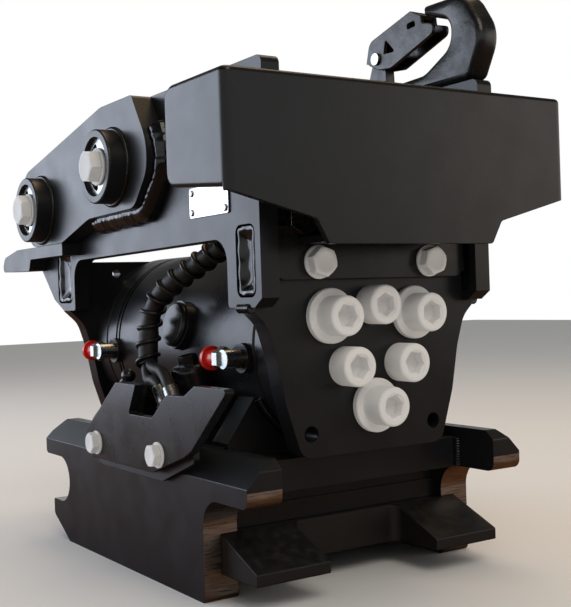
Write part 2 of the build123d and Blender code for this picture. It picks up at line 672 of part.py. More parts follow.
def piston_sleeve():
    """Annular piston with the sleeve that works in the ring gear and on the shaft."""
    half = PISTON_LENGTH / 2
    head = rod_x(0, 0, HOUSING_BORE_RADIUS - RUNNING_CLEARANCE, PISTON_X - half, PISTON_X + half)
    sleeve_radius = HOUSING_BORE_RADIUS - RING_GEAR_WALL - TOOTH_CLEARANCE
    body = head + rod_x(0, 0, sleeve_radius, PISTON_X + half, PISTON_X + half + SLEEVE_LENGTH)
    end = PISTON_X + half + SLEEVE_LENGTH
    return body - rod_x(0, 0, SHAFT_RADIUS + RUNNING_CLEARANCE, PISTON_X - half, end)


def side_block():
    """Right block: bevelled top, front nose and jaw, round rear seat, and the wedge groove."""
    points = [
        (NOSE_X, BLOCK_TOP_Z - 8.0, 3.0),
        (NOSE_X, NOSE_BOTTOM_Z, 9.0),
        (JAW_X, NOSE_BOTTOM_Z, JAW_CORNER),
        (JAW_X, BASE_Z, 5.0),
        (REAR_FOOT_X, BASE_Z, 6.0),
        (REAR_LIP_X, HOOK_Z - HOOK_RADIUS - 18.0, 6.0),
        (REAR_LIP_X, HOOK_Z - HOOK_RADIUS, 3.0),
        (HOOK_X, HOOK_Z - HOOK_RADIUS, 0.0),
        (HOOK_X, HOOK_Z + HOOK_RADIUS, 0.0),
        (REAR_NOSE_X, HOOK_Z + HOOK_RADIUS, 5.0),
        (REAR_NOSE_X, BLOCK_TOP_Z - 14.0, 8.0),
        (REAR_NOSE_X + 14.0, BLOCK_TOP_Z, 8.0),
        (NOSE_X - 10.0, BLOCK_TOP_Z, 3.0),
    ]
    solid = plate_xz(points, -BLOCK_OUTER, -BLOCK_INNER)
    solid -= rod_y(HOOK_X, HOOK_Z, HOOK_RADIUS, -BLOCK_OUTER, -BLOCK_INNER)
    bevel = [
        (-BLOCK_OUTER - 1.0, BLOCK_EDGE_Z, 0.0),
        (-BLOCK_OUTER, BLOCK_EDGE_Z, 0.0),
        (-BLOCK_OUTER + BLOCK_BEVEL, BLOCK_TOP_Z, 0.0),
        (-BLOCK_OUTER + BLOCK_BEVEL, BLOCK_TOP_Z + 1.0, 0.0),
        (-BLOCK_OUTER - 1.0, BLOCK_TOP_Z + 1.0, 0.0),
    ]
    solid -= plate_yz(bevel, REAR_NOSE_X - 1.0, NOSE_X + 1.0)
    groove_y = -WEDGE_HALF_WIDTH - WEDGE_CLEARANCE
    rear = WEDGE_REAR_X - WEDGE_STROKE - 5.0
    return solid - block(rear, JAW_X, groove_y, -BLOCK_INNER, GROOVE_BOTTOM_Z, GROOVE_TOP_Z)


def front_beam():
    """Cross beam between the two front noses."""
    back = FRONT_BEAM_X - FRONT_BEAM_DEPTH
    half = [(BLOCK_INNER, BEAM_TOP_Z, 0.0), (BLOCK_INNER, NOSE_BOTTOM_Z, 0.0)]
    return plate_yz(mirrored(half), back, FRONT_BEAM_X)


def saddle(x_low):
    """Plate across the tool frame, cut to the round of the housing."""
    foot = GROOVE_TOP_Z + GUIDE_THICKNESS
    half = [
        (HOUSING_RADIUS - 6.0, SADDLE_TOP_Z, 0.0),
        (BLOCK_INNER, BLOCK_TOP_Z + 4.0, 0.0),
        (BLOCK_INNER, foot, 0.0),
    ]
    plate = plate_yz(mirrored(half), x_low, x_low + SADDLE_THICKNESS)
    return plate - rod_x(0, 0, HOUSING_RADIUS + RUNNING_CLEARANCE, x_low, x_low + SADDLE_THICKNESS)


def wedge_guide():
    """Plate that the wedge slides under."""
    top = GROOVE_TOP_Z + GUIDE_THICKNESS
    return block(GUIDE_REAR_X, GUIDE_FRONT_X, -BLOCK_INNER, BLOCK_INNER, GROOVE_TOP_Z, top)


def wedge_cover():
    """Bottom plate that the wedge rests on."""
    low = GROOVE_BOTTOM_Z - 15.0
    return block(GUIDE_REAR_X, COVER_PLATE_FRONT_X, -BLOCK_INNER, BLOCK_INNER, low, GROOVE_BOTTOM_Z)


def rear_cross_plate():
    """Plate behind the lock cylinder, with the rear saddle standing on it."""
    back = CYLINDER_REAR_X - REAR_PLATE_THICKNESS
    top = GROOVE_TOP_Z + GUIDE_THICKNESS
    low = CYLINDER_Z - CYLINDER_RADIUS + 2.0
    plate = block(back, CYLINDER_REAR_X, -BLOCK_INNER, BLOCK_INNER, low, top)
    shelf = block(back, GUIDE_REAR_X, -BLOCK_INNER, BLOCK_INNER, top - 10.0, top)
    channel = rod_x(0, CYLINDER_Z, CYLINDER_RADIUS + 0.5, CYLINDER_REAR_X, GUIDE_REAR_X)
    return plate + (shelf - channel)


def wedge():
    """Double wedge: a plate in the block grooves with two tapered tines in front."""
    w = WEDGE_HALF_WIDTH
    plate = block(WEDGE_REAR_X, JAW_X, -w, w, WEDGE_BOTTOM_Z, WEDGE_TOP_Z)
    tine_points = [
        (JAW_X - 1.0, WEDGE_BOTTOM_Z, 0.0),
        (WEDGE_TIP_X, WEDGE_BOTTOM_Z, 1.5),
        (WEDGE_TIP_X, WEDGE_TIP_TOP_Z, 1.5),
        (JAW_X, WEDGE_TOP_Z, 0.0),
        (JAW_X - 1.0, WEDGE_TOP_Z, 0.0),
    ]
    tine = plate_xz(tine_points, -w, -TINE_INNER_Y)
    plate += tine + left(tine)
    inner = [e for e in plate.edges().filter_by(Axis.Z) if abs(abs(e.center().Y) - TINE_INNER_Y) < 0.1]
    plate = fillet([e for e in inner if e.center().X < JAW_X + 0.1], 10.0)
    socket_end = WEDGE_REAR_X + ROD_SOCKET
    return plate - rod_x(0, CYLINDER_Z, ROD_RADIUS + RUNNING_CLEARANCE, WEDGE_REAR_X, socket_end)


def wedge_rod():
    """Rod and piston of the lock cylinder, screwed into the wedge."""
    bore_end = CYLINDER_FRONT_X - GLAND_LENGTH
    piston_front = bore_end - 0.5
    piston_radius = CYLINDER_BORE_RADIUS - RUNNING_CLEARANCE
    piston = rod_x(0, CYLINDER_Z, piston_radius, piston_front - LOCK_PISTON_LENGTH, piston_front)
    return piston + rod_x(0, CYLINDER_Z, ROD_RADIUS, piston_front, WEDGE_REAR_X + ROD_SOCKET)


def lock_cylinder():
    """Barrel of the lock cylinder, closed at the rear."""
    bore_end = CYLINDER_FRONT_X - GLAND_LENGTH
    barrel = rod_x(0, CYLINDER_Z, CYLINDER_RADIUS, CYLINDER_REAR_X, bore_end)
    return barrel - rod_x(0, CYLINDER_Z, CYLINDER_BORE_RADIUS, CYLINDER_REAR_X + CAP_WALL, bore_end)


def cylinder_gland():
    """Front cap of the lock cylinder, bored for the rod."""
    bore_end = CYLINDER_FRONT_X - GLAND_LENGTH
    cap = rod_x(0, CYLINDER_Z, CYLINDER_RADIUS, bore_end, CYLINDER_FRONT_X)
    return cap - rod_x(0, CYLINDER_Z, ROD_RADIUS + RUNNING_CLEARANCE, bore_end, CYLINDER_FRONT_X)


def guard_points():
    """Outline of the hose guard, with the notch that the hoses enter."""
    return [
        (-195.0, -33.0, 3.0),
        (-271.0, -86.0, 6.0),
        (-271.0, -104.0, 8.0),
        (-258.0, -113.0, 8.0),
        (-118.0, -113.0, 10.0),
        (-53.0, -92.0, 5.0),
        (-39.0, -85.0, 3.0),
        (28.0, -28.0, 3.0),
        (-30.0, -28.0, 3.0),
        (-50.0, -38.0, 4.0),
        (-84.0, -39.0, 3.0),
        (-115.0, -62.0, 2.0),
        (-167.0, -62.0, 2.0),
        (-149.0, -33.0, 1.0),
    ]


def guard_plate():
    """Hose guard on the right block, with its front edge folded back."""
    plate = plate_xz(guard_points(), -GUARD_OUTER, -GUARD_INNER)
    for x, z in GUARD_SCREWS:
        plate -= rod_y(x, z, 6.5, -GUARD_OUTER, -GUARD_INNER)
    return plate


def guard_seal():
    """Black packing plate behind the guard, standing out a little at the rear and below."""
    margin = 9.0
    points = [
        (-195.0, -33.0, 3.0),
        (-271.0 - margin, -86.0, 8.0),
        (-271.0 - margin, -106.0, 10.0),
        (-258.0, -113.0 - margin, 10.0),
        (-116.0, -113.0 - margin, 10.0),
        (-51.0, -98.0, 5.0),
        (-58.0, -44.0, 3.0),
        (-88.0, -44.0, 3.0),
        (-115.0, -64.0, 2.0),
        (-167.0, -64.0, 2.0),
        (-152.0, -33.0, 1.0),
    ]
    plate = plate_xz(points, -GUARD_INNER, -BLOCK_OUTER)
    for x, z in GUARD_SCREWS:
        plate -= rod_y(x, z, 6.5, -GUARD_INNER, -BLOCK_OUTER)
    return plate


def guard_bosses():
    """Threaded bosses on the bevel of the right block, under the guard screws."""
    group = []
    bevel = plate_yz([
        (-BLOCK_OUTER, BLOCK_EDGE_Z, 0.0),
        (-BLOCK_OUTER + BLOCK_BEVEL, BLOCK_TOP_Z, 0.0),
        (-BLOCK_OUTER + BLOCK_BEVEL, SADDLE_TOP_Z, 0.0),
        (-BLOCK_OUTER, SADDLE_TOP_Z, 0.0),
    ], REAR_NOSE_X, NOSE_X)
    for x, z in GUARD_SCREWS:
        boss = block(x - 9.5, x + 9.5, -BLOCK_OUTER, -BLOCK_OUTER + BLOCK_BEVEL, BLOCK_EDGE_Z, z + 12.0)
        boss = (boss & bevel) - rod_y(x, z, 6.0, -BLOCK_OUTER, -BLOCK_OUTER + 12.0)
        group.append(boss)
    return group


def guard_screws():
    """Two hexagon screws with washers through the guard."""
    depth = GUARD_THICKNESS + GUARD_SEAL + 7.5
    screw = hex_screw(GUARD_SCREW_AF, 7.5, 6.0 - RUNNING_CLEARANCE, depth, washer_radius=12.0, washer=2.5)
    return [facing(x, -GUARD_OUTER, z, (0, -1, 0)) * screw for x, z in GUARD_SCREWS]


def hose_rail():
    """Bent rod behind the guard that keeps the hoses off the tilting plates."""
    y = -BLOCK_OUTER + BLOCK_BEVEL - 5.0
    foot = (-327.0, y, BLOCK_TOP_Z)
    top = (-232.0, y, -30.0)
    path = FilletPolyline(foot, (-320.0, y, BLOCK_TOP_Z + 8.0), top, radius=6.0)
    rod = sweep(Plane(origin=foot, z_dir=path % 0) * Circle(4.0), path=path)
    return rod + Pos(*top) * Sphere(7.5)


def port_fittings():
    """Plated hexagon adapters of the two actuator ports, each pointing rearward."""
    group = []
    for x in (FRONT_PORT_X - 18.0, REAR_PORT_X):
        body = rod_y(x, PORT_Z, 9.0, PORT_Y - 7.0, PORT_Y + 12.0)
        hexagon = extrude(RegularPolygon(10.0, 6, major_radius=False), amount=9.0)
        body += facing(x - 2.0, PORT_Y, PORT_Z, (-1, 0, 0)) * Pos(0, 0, 4.0) * hexagon
        group.append(body)
    return group


def port_caps():
    """Red shipping plugs in the two port adapters, each a stem with a round grip."""
    low = (Align.CENTER, Align.CENTER, Align.MIN)
    plug = Cylinder(8.5, 16.0, align=low) + Pos(0, 0, 16.0) * Cylinder(11.5, 6.0, align=low)
    plug = fillet(plug.faces().sort_by(Axis.Z)[-1].edges(), 2.0)
    places = (FRONT_PORT_X - 18.0, REAR_PORT_X)
    return [facing(x - 15.0, PORT_Y, PORT_Z, (-1, 0, 0)) * plug for x in places]


def relief_valve():
    """Round valve body on the lower right of the housing, with a plated plug on top."""
    low = (Align.CENTER, Align.CENTER, Align.MIN)
    body = Cylinder(20.0, 34.0, align=low)
    body = fillet(body.faces().sort_by(Axis.Z)[-1].edges(), 7.0)
    body += Pos(0, 0, 34.0) * extrude(RegularPolygon(8.5, 6, major_radius=False), amount=9.0)
    placed = Pos(VALVE_X, -(HOUSING_RADIUS + VALVE_STANDOFF), VALVE_Z) * Rot(12, 0, 0) * body
    return placed - rod_x(0, 0, HOUSING_RADIUS, HOUSING_REAR_X, HOUSING_FRONT_X)


def hose_ferrules():
    """Plated ferrules of the two lock hoses, each on an adapter in the bevel of the block."""
    low = (Align.CENTER, Align.CENTER, Align.MIN)
    ferrule = Cylinder(8.0, FERRULE_LENGTH, align=low) + Sphere(5.4)
    ferrule += extrude(RegularPolygon(8.5, 6, major_radius=False), amount=7.0)
    block_top = plate_yz([
        (-BLOCK_OUTER, BLOCK_EDGE_Z, 0.0),
        (-BLOCK_OUTER + BLOCK_BEVEL, BLOCK_TOP_Z, 0.0),
        (-BLOCK_INNER, BLOCK_TOP_Z, 0.0),
        (-BLOCK_INNER, BASE_Z, 0.0),
        (-BLOCK_OUTER, BASE_Z, 0.0),
    ], REAR_NOSE_X, NOSE_X)
    group = []
    for x in FERRULE_XS:
        root = Vector(x, FERRULE_Y, FERRULE_Z) - FERRULE_LEAN * FERRULE_LENGTH
        stem = rod_z(root.X, root.Y, 5.4, BLOCK_EDGE_Z, root.Z)
        group.append(Plane(origin=root, z_dir=FERRULE_LEAN).location * ferrule + (stem - block_top))
    return group


def hose_bundle():
    """Two lock hoses, wrapped together from the front end plate down to the hose guard."""
    pts = [
        (FRONT_PLATE_BACK_X, BULKHEAD_Y, BULKHEAD_Z),
        (-52.0, BULKHEAD_Y, BULKHEAD_Z),
        (-96.0, -89.0, 104.0),
        (-140.0, -100.0, 83.0),
        (-178.0, BUNDLE_Y, 62.0),
        (-202.0, BUNDLE_Y - 7.0, 40.0),
        (-209.0, BUNDLE_Y - 10.0, 4.0),
        (-203.0, -131.0, -18.0),
    ]
    path = FilletPolyline(*pts, radius=bend_radii(pts))
    hoses = sweep(Plane(origin=pts[0], z_dir=path % 0) * Circle(BUNDLE_DIAMETER / 2), path=path)
    down = path % 1
    for x, spread, rise in zip(FERRULE_XS, (-5.0, 5.0), (0.0, 9.0)):
        start = path @ 1 + Vector(spread, 0, 0) - down * 6.0
        end = Vector(x, FERRULE_Y, FERRULE_Z) + FERRULE_LEAN * 0.3
        middle = end + FERRULE_LEAN * 16.0 + Vector(-7.0, 4.0, rise - 5.0)
        branch = Spline(start, middle, end, tangents=[down, -FERRULE_LEAN])
        hoses += sweep(Plane(origin=start, z_dir=down) * Circle(HOSE_DIAMETER / 2), path=branch)
    return hoses


def bend_radii(points):
    """Radius at each inner point, as large as its two runs allow."""
    radii = []
    for a, b, c in zip(points, points[1:], points[2:]):
        first, second = Vector(*b) - Vector(*a), Vector(*c) - Vector(*b)
        half_turn = radians(first.get_angle(second) / 2)
        radii.append(0.45 * min(first.length, second.length) / (sin(half_turn) / cos(half_turn)))
    return radii


def lifting_hook():
    """Weld-on lifting hook on the top edge of the left side plate, with its latch lug."""
    z = TOP_Z
    points = [
        (-150.0, z, 2.0),
        (24.0, z, 10.0),
        (46.0, z + 42.0, 34.0),
        (18.0, z + 85.0, 26.0),
        (-42.0, z + 86.0, 5.0),
        (-41.0, z + 76.0, 4.0),
        (-3.0, z + 63.0, 14.0),
        (-3.0, z + 38.0, 24.0),
        (-44.0, z + 17.0, 30.0),
        (-106.0, z + 15.0, 8.0),
        (-112.0, z + 24.0, 2.0),
        (-150.0, z + 24.0, 6.0),
    ]
    y = SIDE_CENTRE
    body = plate_xz(points, y - HOOK_WIDTH / 2, y + HOOK_WIDTH / 2)
    lug_points = [
        (LATCH_PIVOT_X - 24.0, z + 20.0, 2.0),
        (LATCH_PIVOT_X + 10.0, z + 20.0, 2.0),
        (LATCH_PIVOT_X + 8.0, LATCH_PIVOT_Z + 8.0, 7.0),
        (LATCH_PIVOT_X - 9.0, LATCH_PIVOT_Z + 8.0, 7.0),
    ]
    body += plate_xz(lug_points, y - 6.0, y + 6.0)
    hole = LATCH_PIN_RADIUS + RUNNING_CLEARANCE
    return body - rod_y(LATCH_PIVOT_X, LATCH_PIVOT_Z, hole, y - 6.0, y + 6.0)


def hook_latch():
    """Sprung latch that closes the hook from inside, forked round its lug."""
    x, z = LATCH_PIVOT_X, LATCH_PIVOT_Z
    points = [
        (x - 18.0, z - 2.0, 8.0),
        (x - 12.0, z + 20.0, 12.0),
        (x + 58.0, z + 38.0, 5.0),
        (x + 74.0, z + 30.0, 3.0),
        (x + 75.0, z + 22.0, 1.0),
        (x + 92.0, z + 17.0, 4.0),
        (x + 92.0, z + 8.0, 6.0),
        (x + 24.0, z - 14.0, 10.0),
        (x + 2.0, z - 12.0, 8.0),
    ]
    y = SIDE_CENTRE
    half = HOOK_WIDTH / 2 - 2.0
    body = plate_xz(points, y - half, y + half)
    body -= block(x - 30.0, x + 16.0, y - 6.5, y + 6.5, z - 30.0, z + 40.0)
    return body - rod_y(x, z, LATCH_PIN_RADIUS + RUNNING_CLEARANCE, y - half, y + half)


def latch_pin():
    """Rivet that the latch turns on."""
    half = HOOK_WIDTH / 2 - 2.0
    low = SIDE_CENTRE - half - 0.3
    high = SIDE_CENTRE + half + 0.3
    pin = rod_y(LATCH_PIVOT_X, LATCH_PIVOT_Z, LATCH_PIN_RADIUS, low - 2.5, high + 2.5)
    head = rod_y(LATCH_PIVOT_X, LATCH_PIVOT_Z, LATCH_PIN_RADIUS + 2.5, low - 2.5, low)
    return pin + head + rod_y(LATCH_PIVOT_X, LATCH_PIVOT_Z, LATCH_PIN_RADIUS + 2.5, high, high + 2.5)


def data_plate():
    """Bare metal plate on the right side plate, under the wing of the cover."""
    points = [(-100.0, 122.0, 3.0), (-28.0, 122.0, 3.0), (-28.0, 150.0, 3.0), (-100.0, 150.0, 3.0)]
    plate = plate_xz(points, -SIDE_OUTER - 1.5, -SIDE_OUTER)
    for x, z in rivet_places():
        plate -= rod_y(x, z, 2.0, -SIDE_OUTER - 1.5, -SIDE_OUTER)
    return plate


def rivet_places():
    """Corners of the data plate where its rivets go."""
    return [(x, z) for x in (-95.0, -33.0) for z in (127.0, 145.0)]


def data_plate_rivets():
    """Four dome rivets of the data plate."""
    low = (Align.CENTER, Align.CENTER, Align.MIN)
    head = Cylinder(3.2, 1.6, align=low)
    head = fillet(head.faces().sort_by(Axis.Z)[-1].edges(), 1.2)
    rivet = head + Pos(0, 0, -1.5) * Cylinder(1.9, 1.5, align=low)
    return [facing(x, -SIDE_OUTER - 1.5, z, (0, -1, 0)) * rivet for x, z in rivet_places()]


def hose_bulkhead():
    """Bulkhead fitting of the lock hoses, through the front end plate into the cover."""
    radius = BUNDLE_DIAMETER / 2 - RUNNING_CLEARANCE
    body = rod_x(BULKHEAD_Y, BULKHEAD_Z, radius, FRONT_PLATE_BACK_X, BRACKET_THICKNESS + 2.0)
    nut = extrude(RegularPolygon(BUNDLE_DIAMETER / 2 + 3.0, 6, major_radius=False), amount=10.0)
    return body + facing(BRACKET_THICKNESS, BULKHEAD_Y, BULKHEAD_Z, (1, 0, 0)) * nut


def build_nodes():
    """All sub-parts by name; a list is a group of separate solids."""
    side = side_plate()
    ear = ear_plate()
    weld = ear_weld()
    welds = [plug_weld(FRONT_SLOT), plug_weld(REAR_SLOT)]
    bar = link_stop_bar()
    tool_block = side_block()
    sleeves, washers, screws = [], [], []
    pin_screw = hex_screw(PIN_SCREW_AF, 12.5, PIN_SCREW_AF / 3 - RUNNING_CLEARANCE, 32.0, 19.0, 3.0)
    for x, z in pin_places():
        seat = -COLLAR_OUTER + PIN_RECESS
        right_side = [
            Pos(x, 0, z) * pin_sleeve(),
            facing(x, seat + PIN_WASHER_THICKNESS, z, (0, -1, 0)) * pin_washer(),
            facing(x, seat, z, (0, -1, 0)) * pin_screw,
        ]
        for group, piece in zip((sleeves, washers, screws), right_side):
            group += [piece, left(piece)]
    return {
        "side_plate_right": side,
        "side_plate_left": left(side),
        "ear_plate_right": ear,
        "ear_plate_left": left(ear),
        "ear_welds": [weld, left(weld)],
        "pin_collars": pin_collars(),
        "stick_pin": arm_pin(STICK_PIN_X, STICK_PIN_Z),
        "link_pin": arm_pin(LINK_PIN_X, LINK_PIN_Z),
        "pin_sleeves": sleeves,
        "pin_washers": washers,
        "pin_screws": screws,
        "front_end_plate": front_end_plate(),
        "rear_end_plate": rear_end_plate(),
        "top_cross_plate": top_cross_plate(),
        "plug_welds": welds + [left(w) for w in welds],
        "link_stop_bars": [bar, left(bar)],
        "front_cover": front_cover(),
        "cover_bracket": cover_bracket(),
        "cover_hangers": cover_hangers(),
        "cover_screws": cover_screws(),
        "front_shaft_screws": shaft_screws(0.0, 1),
        "front_shaft_washers": shaft_washers(0.0, 1),
        "rear_shaft_screws": shaft_screws(REAR_PLATE_BACK_X, -1),
        "rear_shaft_washers": shaft_washers(REAR_PLATE_BACK_X, -1),
        "actuator_shaft": actuator_shaft(),
        "rear_shaft_flange": rear_shaft_flange(),
        "lifting_hook": lifting_hook(),
        "latch_pin": latch_pin(),
        "data_plate": data_plate(),
        "data_plate_rivets": data_plate_rivets(),
        "hose_bulkhead": hose_bulkhead(),
        "hook_latch": hook_latch(),
        "actuator_housing": actuator_housing(),
        "front_bearing": bearing(HOUSING_FRONT_X - BEARING_LENGTH, HOUSING_FRONT_X),
        "rear_bearing": bearing(HOUSING_REAR_X, HOUSING_REAR_X + BEARING_LENGTH),
        "ring_gear": ring_gear(),
        "access_plug": access_plug(),
        "port_fittings": port_fittings(),
        "port_caps": port_caps(),
        "relief_valve": relief_valve(),
        "side_block_right": tool_block,
        "side_block_left": left(tool_block),
        "front_beam": front_beam(),
        "saddles": [saddle(SADDLE_FRONT_X - SADDLE_THICKNESS), saddle(SADDLE_REAR_X)],
        "wedge_guide": wedge_guide(),
        "wedge_cover": wedge_cover(),
        "rear_cross_plate": rear_cross_plate(),
        "guard_plate": guard_plate(),
        "guard_seal": guard_seal(),
        "guard_bosses": guard_bosses(),
        "guard_screws": guard_screws(),
        "hose_rail": hose_rail(),
        "hose_ferrules": hose_ferrules(),
        "hose_bundle": hose_bundle(),
        "lock_cylinder": lock_cylinder(),
        "cylinder_gland": cylinder_gland(),
        "wedge": wedge(),
        "wedge_rod": wedge_rod(),
        "piston_sleeve": piston_sleeve(),
    }


def main():
    """Write one STEP file for each sub-part, on the coupler's own base."""
    os.makedirs("parts", exist_ok=True)
    nodes = build_nodes()
    groups = {name: piece if isinstance(piece, list) else [piece] for name, piece in nodes.items()}
    whole = Compound(children=[Compound(children=list(pieces)) for pieces in groups.values()])
    box = whole.bounding_box()
    shift = Pos(-(box.min.X + box.max.X) / 2, 0, -box.min.Z)
    print("overall size", [round(v, 1) for v in box.size], "shift x", round(shift.position.X, 3))
    for name, pieces in groups.items():
        solids = [s for piece in pieces for s in (shift * piece).solids()]
        shape = solids[0] if len(solids) == 1 else Compound(children=solids)
        export_step(shape, f"parts/{name}.step")


main()
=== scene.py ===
"""Dress the tilting quick coupler: finishes, welds, hoses, screws, lifting hook and a plain studio.

Sizes are in millimetres in the tilt frame (x = 0 at the front face of the front end plate, z = 0 on
the tilt axis) and are turned into row metres by `Bench.at`.
"""

import json
import logging
import math
from dataclasses import dataclass, field
from enum import Enum
from typing import Iterable, Sequence

import bmesh
import bpy
from mathutils import Matrix, Vector
from mathutils.geometry import tessellate_polygon

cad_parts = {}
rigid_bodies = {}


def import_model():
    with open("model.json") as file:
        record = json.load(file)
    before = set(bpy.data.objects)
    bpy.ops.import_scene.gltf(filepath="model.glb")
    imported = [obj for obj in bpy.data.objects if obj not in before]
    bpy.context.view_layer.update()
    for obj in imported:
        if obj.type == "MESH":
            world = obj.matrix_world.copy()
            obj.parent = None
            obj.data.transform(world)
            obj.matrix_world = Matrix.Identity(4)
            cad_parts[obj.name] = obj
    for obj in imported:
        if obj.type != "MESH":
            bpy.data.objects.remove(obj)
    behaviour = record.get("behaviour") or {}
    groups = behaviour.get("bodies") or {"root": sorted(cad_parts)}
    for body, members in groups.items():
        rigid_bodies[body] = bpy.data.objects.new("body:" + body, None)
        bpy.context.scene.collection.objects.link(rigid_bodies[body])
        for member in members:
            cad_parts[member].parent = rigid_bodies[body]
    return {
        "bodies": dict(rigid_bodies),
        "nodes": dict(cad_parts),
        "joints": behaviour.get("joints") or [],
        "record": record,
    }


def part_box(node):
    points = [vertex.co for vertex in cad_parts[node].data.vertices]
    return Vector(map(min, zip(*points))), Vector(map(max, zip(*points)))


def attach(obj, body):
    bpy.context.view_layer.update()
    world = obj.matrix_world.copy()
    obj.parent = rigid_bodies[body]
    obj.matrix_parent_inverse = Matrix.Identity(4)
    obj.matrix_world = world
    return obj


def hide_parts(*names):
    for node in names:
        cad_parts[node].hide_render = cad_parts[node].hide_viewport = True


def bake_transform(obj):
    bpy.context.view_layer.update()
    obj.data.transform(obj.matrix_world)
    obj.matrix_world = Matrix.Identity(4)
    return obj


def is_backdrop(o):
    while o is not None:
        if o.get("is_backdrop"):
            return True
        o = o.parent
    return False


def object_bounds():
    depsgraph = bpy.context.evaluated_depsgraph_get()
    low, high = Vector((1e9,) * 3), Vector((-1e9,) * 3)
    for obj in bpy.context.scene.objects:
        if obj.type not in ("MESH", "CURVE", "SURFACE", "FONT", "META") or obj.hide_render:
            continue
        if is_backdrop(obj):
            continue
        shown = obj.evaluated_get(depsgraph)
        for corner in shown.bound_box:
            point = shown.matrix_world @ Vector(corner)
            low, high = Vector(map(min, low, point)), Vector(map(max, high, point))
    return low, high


LOG = logging.getLogger("coupler")
MM = 0.001
AXIS_HEIGHT = 223.4
Point = tuple[float, float, float]


class Side(Enum):
    """Side of the coupler; the value is the sign of Y."""

    RIGHT = -1
    LEFT = 1


class Body(Enum):
    """Rigid body that a piece rides on."""

    UPPER = "upper_frame"
    TOOL = "tool_frame"
    WEDGE = "locking_wedge"
    PISTON = "piston"
    LATCH = "hook_latch"


def linear(code: str) -> tuple[float, float, float, float]:
    """Turn an sRGB hex code into linear colour.

    Args:
        code: Six hex digits.

    Returns:
        Linear red, green, blue and an alpha of 1.
    """
    parts = [int(code[i : i + 2], 16) / 255 for i in (0, 2, 4)]
    low = [v / 12.92 if v <= 0.04045 else ((v + 0.055) / 1.055) ** 2.4 for v in parts]
    return (low[0], low[1], low[2], 1.0)


def add(tree: bpy.types.NodeTree, kind: str, feeds: dict | None = None, **settings: object) -> bpy.types.Node:
    """Add a node with its settings, values and links.

    Args:
        tree: Node tree that gets the node.
        kind: Node type name.
        feeds: Socket name or index to a value or to an output socket.
        settings: Node properties.

    Returns:
        The new node.
    """
    node = tree.nodes.new(kind)
    for key, value in settings.items():
        setattr(node, key, value)
    for key, value in (feeds or {}).items():
        if isinstance(value, bpy.types.NodeSocket):
            tree.links.new(value, node.inputs[key])
        else:
            node.inputs[key].default_value = value
    return node


@dataclass(frozen=True)
class Finish:
    """A surface finish, made once as a Blender material.

    Attributes:
        name: What the surface is and how it was made.
        colour: sRGB hex code.
        roughness: Mean roughness.
        metallic: 1 for bare metal.
        specular: Specular level of a dielectric.
        edge: Radius of broken edges in millimetres.
        slot: Material slot of the record; not used.
    """

    name: str
    colour: str
    roughness: float
    metallic: float = 0.0
    specular: float = 0.5
    edge: float = 0.6
    slot: str = "black_paint"

    def make(self) -> bpy.types.Material:
        """Return the material, built on first use."""
        found = bpy.data.materials.get(self.name)
        if found:
            return found
        material = bpy.data.materials.new(self.name)
        material.use_nodes = True
        tree = material.node_tree
        shader = tree.nodes["Principled BSDF"]
        shader.inputs["Base Color"].default_value = linear(self.colour)
        shader.inputs["Roughness"].default_value = self.roughness
        shader.inputs["Metallic"].default_value = self.metallic
        shader.inputs["Specular IOR Level"].default_value = self.specular
        self.surface(tree, shader)
        return material

    def surface(self, tree: bpy.types.NodeTree, shader: bpy.types.Node) -> None:
        """Add the pattern of this finish to its shader; a plain finish only has soft edges."""
        rounded = self.rounded(tree)
        tree.links.new(rounded, shader.inputs["Normal"])

    def rounded(self, tree: bpy.types.NodeTree) -> bpy.types.NodeSocket:
        """Return a normal with the edges broken by the finish's radius."""
        return add(tree, "ShaderNodeBevel", {"Radius": self.edge * MM}, samples=6).outputs["Normal"]

    def place(self, tree: bpy.types.NodeTree, scale: Point = (1.0, 1.0, 1.0)) -> bpy.types.NodeSocket:
        """Return object coordinates, scaled along each axis."""
        where = add(tree, "ShaderNodeTexCoord").outputs["Object"]
        return add(tree, "ShaderNodeMapping", {"Vector": where, "Scale": scale}).outputs["Vector"]

    def noise(self, tree: bpy.types.NodeTree, grain: float, detail: float = 2.0, scale: Point = (1, 1, 1)) -> bpy.types.NodeSocket:
        """Return noise whose patches are about `grain` millimetres wide."""
        feeds = {"Vector": self.place(tree, scale), "Scale": 1 / (grain * MM), "Detail": detail}
        return add(tree, "ShaderNodeTexNoise", feeds).outputs["Fac"]

    def ramp(self, tree: bpy.types.NodeTree, value: bpy.types.NodeSocket, span: Sequence[float]) -> bpy.types.NodeSocket:
        """Return a value mapped from span[0:2] to span[2:4], clamped."""
        feeds = {"Value": value, "From Min": span[0], "From Max": span[1], "To Min": span[2], "To Max": span[3]}
        return add(tree, "ShaderNodeMapRange", feeds).outputs["Result"]

    def sum(self, tree: bpy.types.NodeTree, how: str, *values: object) -> bpy.types.NodeSocket:
        """Return the result of a maths operation on values or sockets."""
        return add(tree, "ShaderNodeMath", dict(enumerate(values)), operation=how).outputs[0]

    def blend(self, tree: bpy.types.NodeTree, mask: object, low: object, high: object) -> bpy.types.NodeSocket:
        """Return a colour between low and high by a mask."""
        return add(tree, "ShaderNodeMix", {0: mask, 6: low, 7: high}, data_type="RGBA").outputs[2]

    def relief(self, tree: bpy.types.NodeTree, height: bpy.types.NodeSocket, depth: float, strength: float = 1.0) -> bpy.types.NodeSocket:
        """Return the rounded normal with a bump of `depth` millimetres."""
        feeds = {"Height": height, "Distance": depth * MM, "Strength": strength, "Normal": self.rounded(tree)}
        return add(tree, "ShaderNodeBump", feeds).outputs["Normal"]


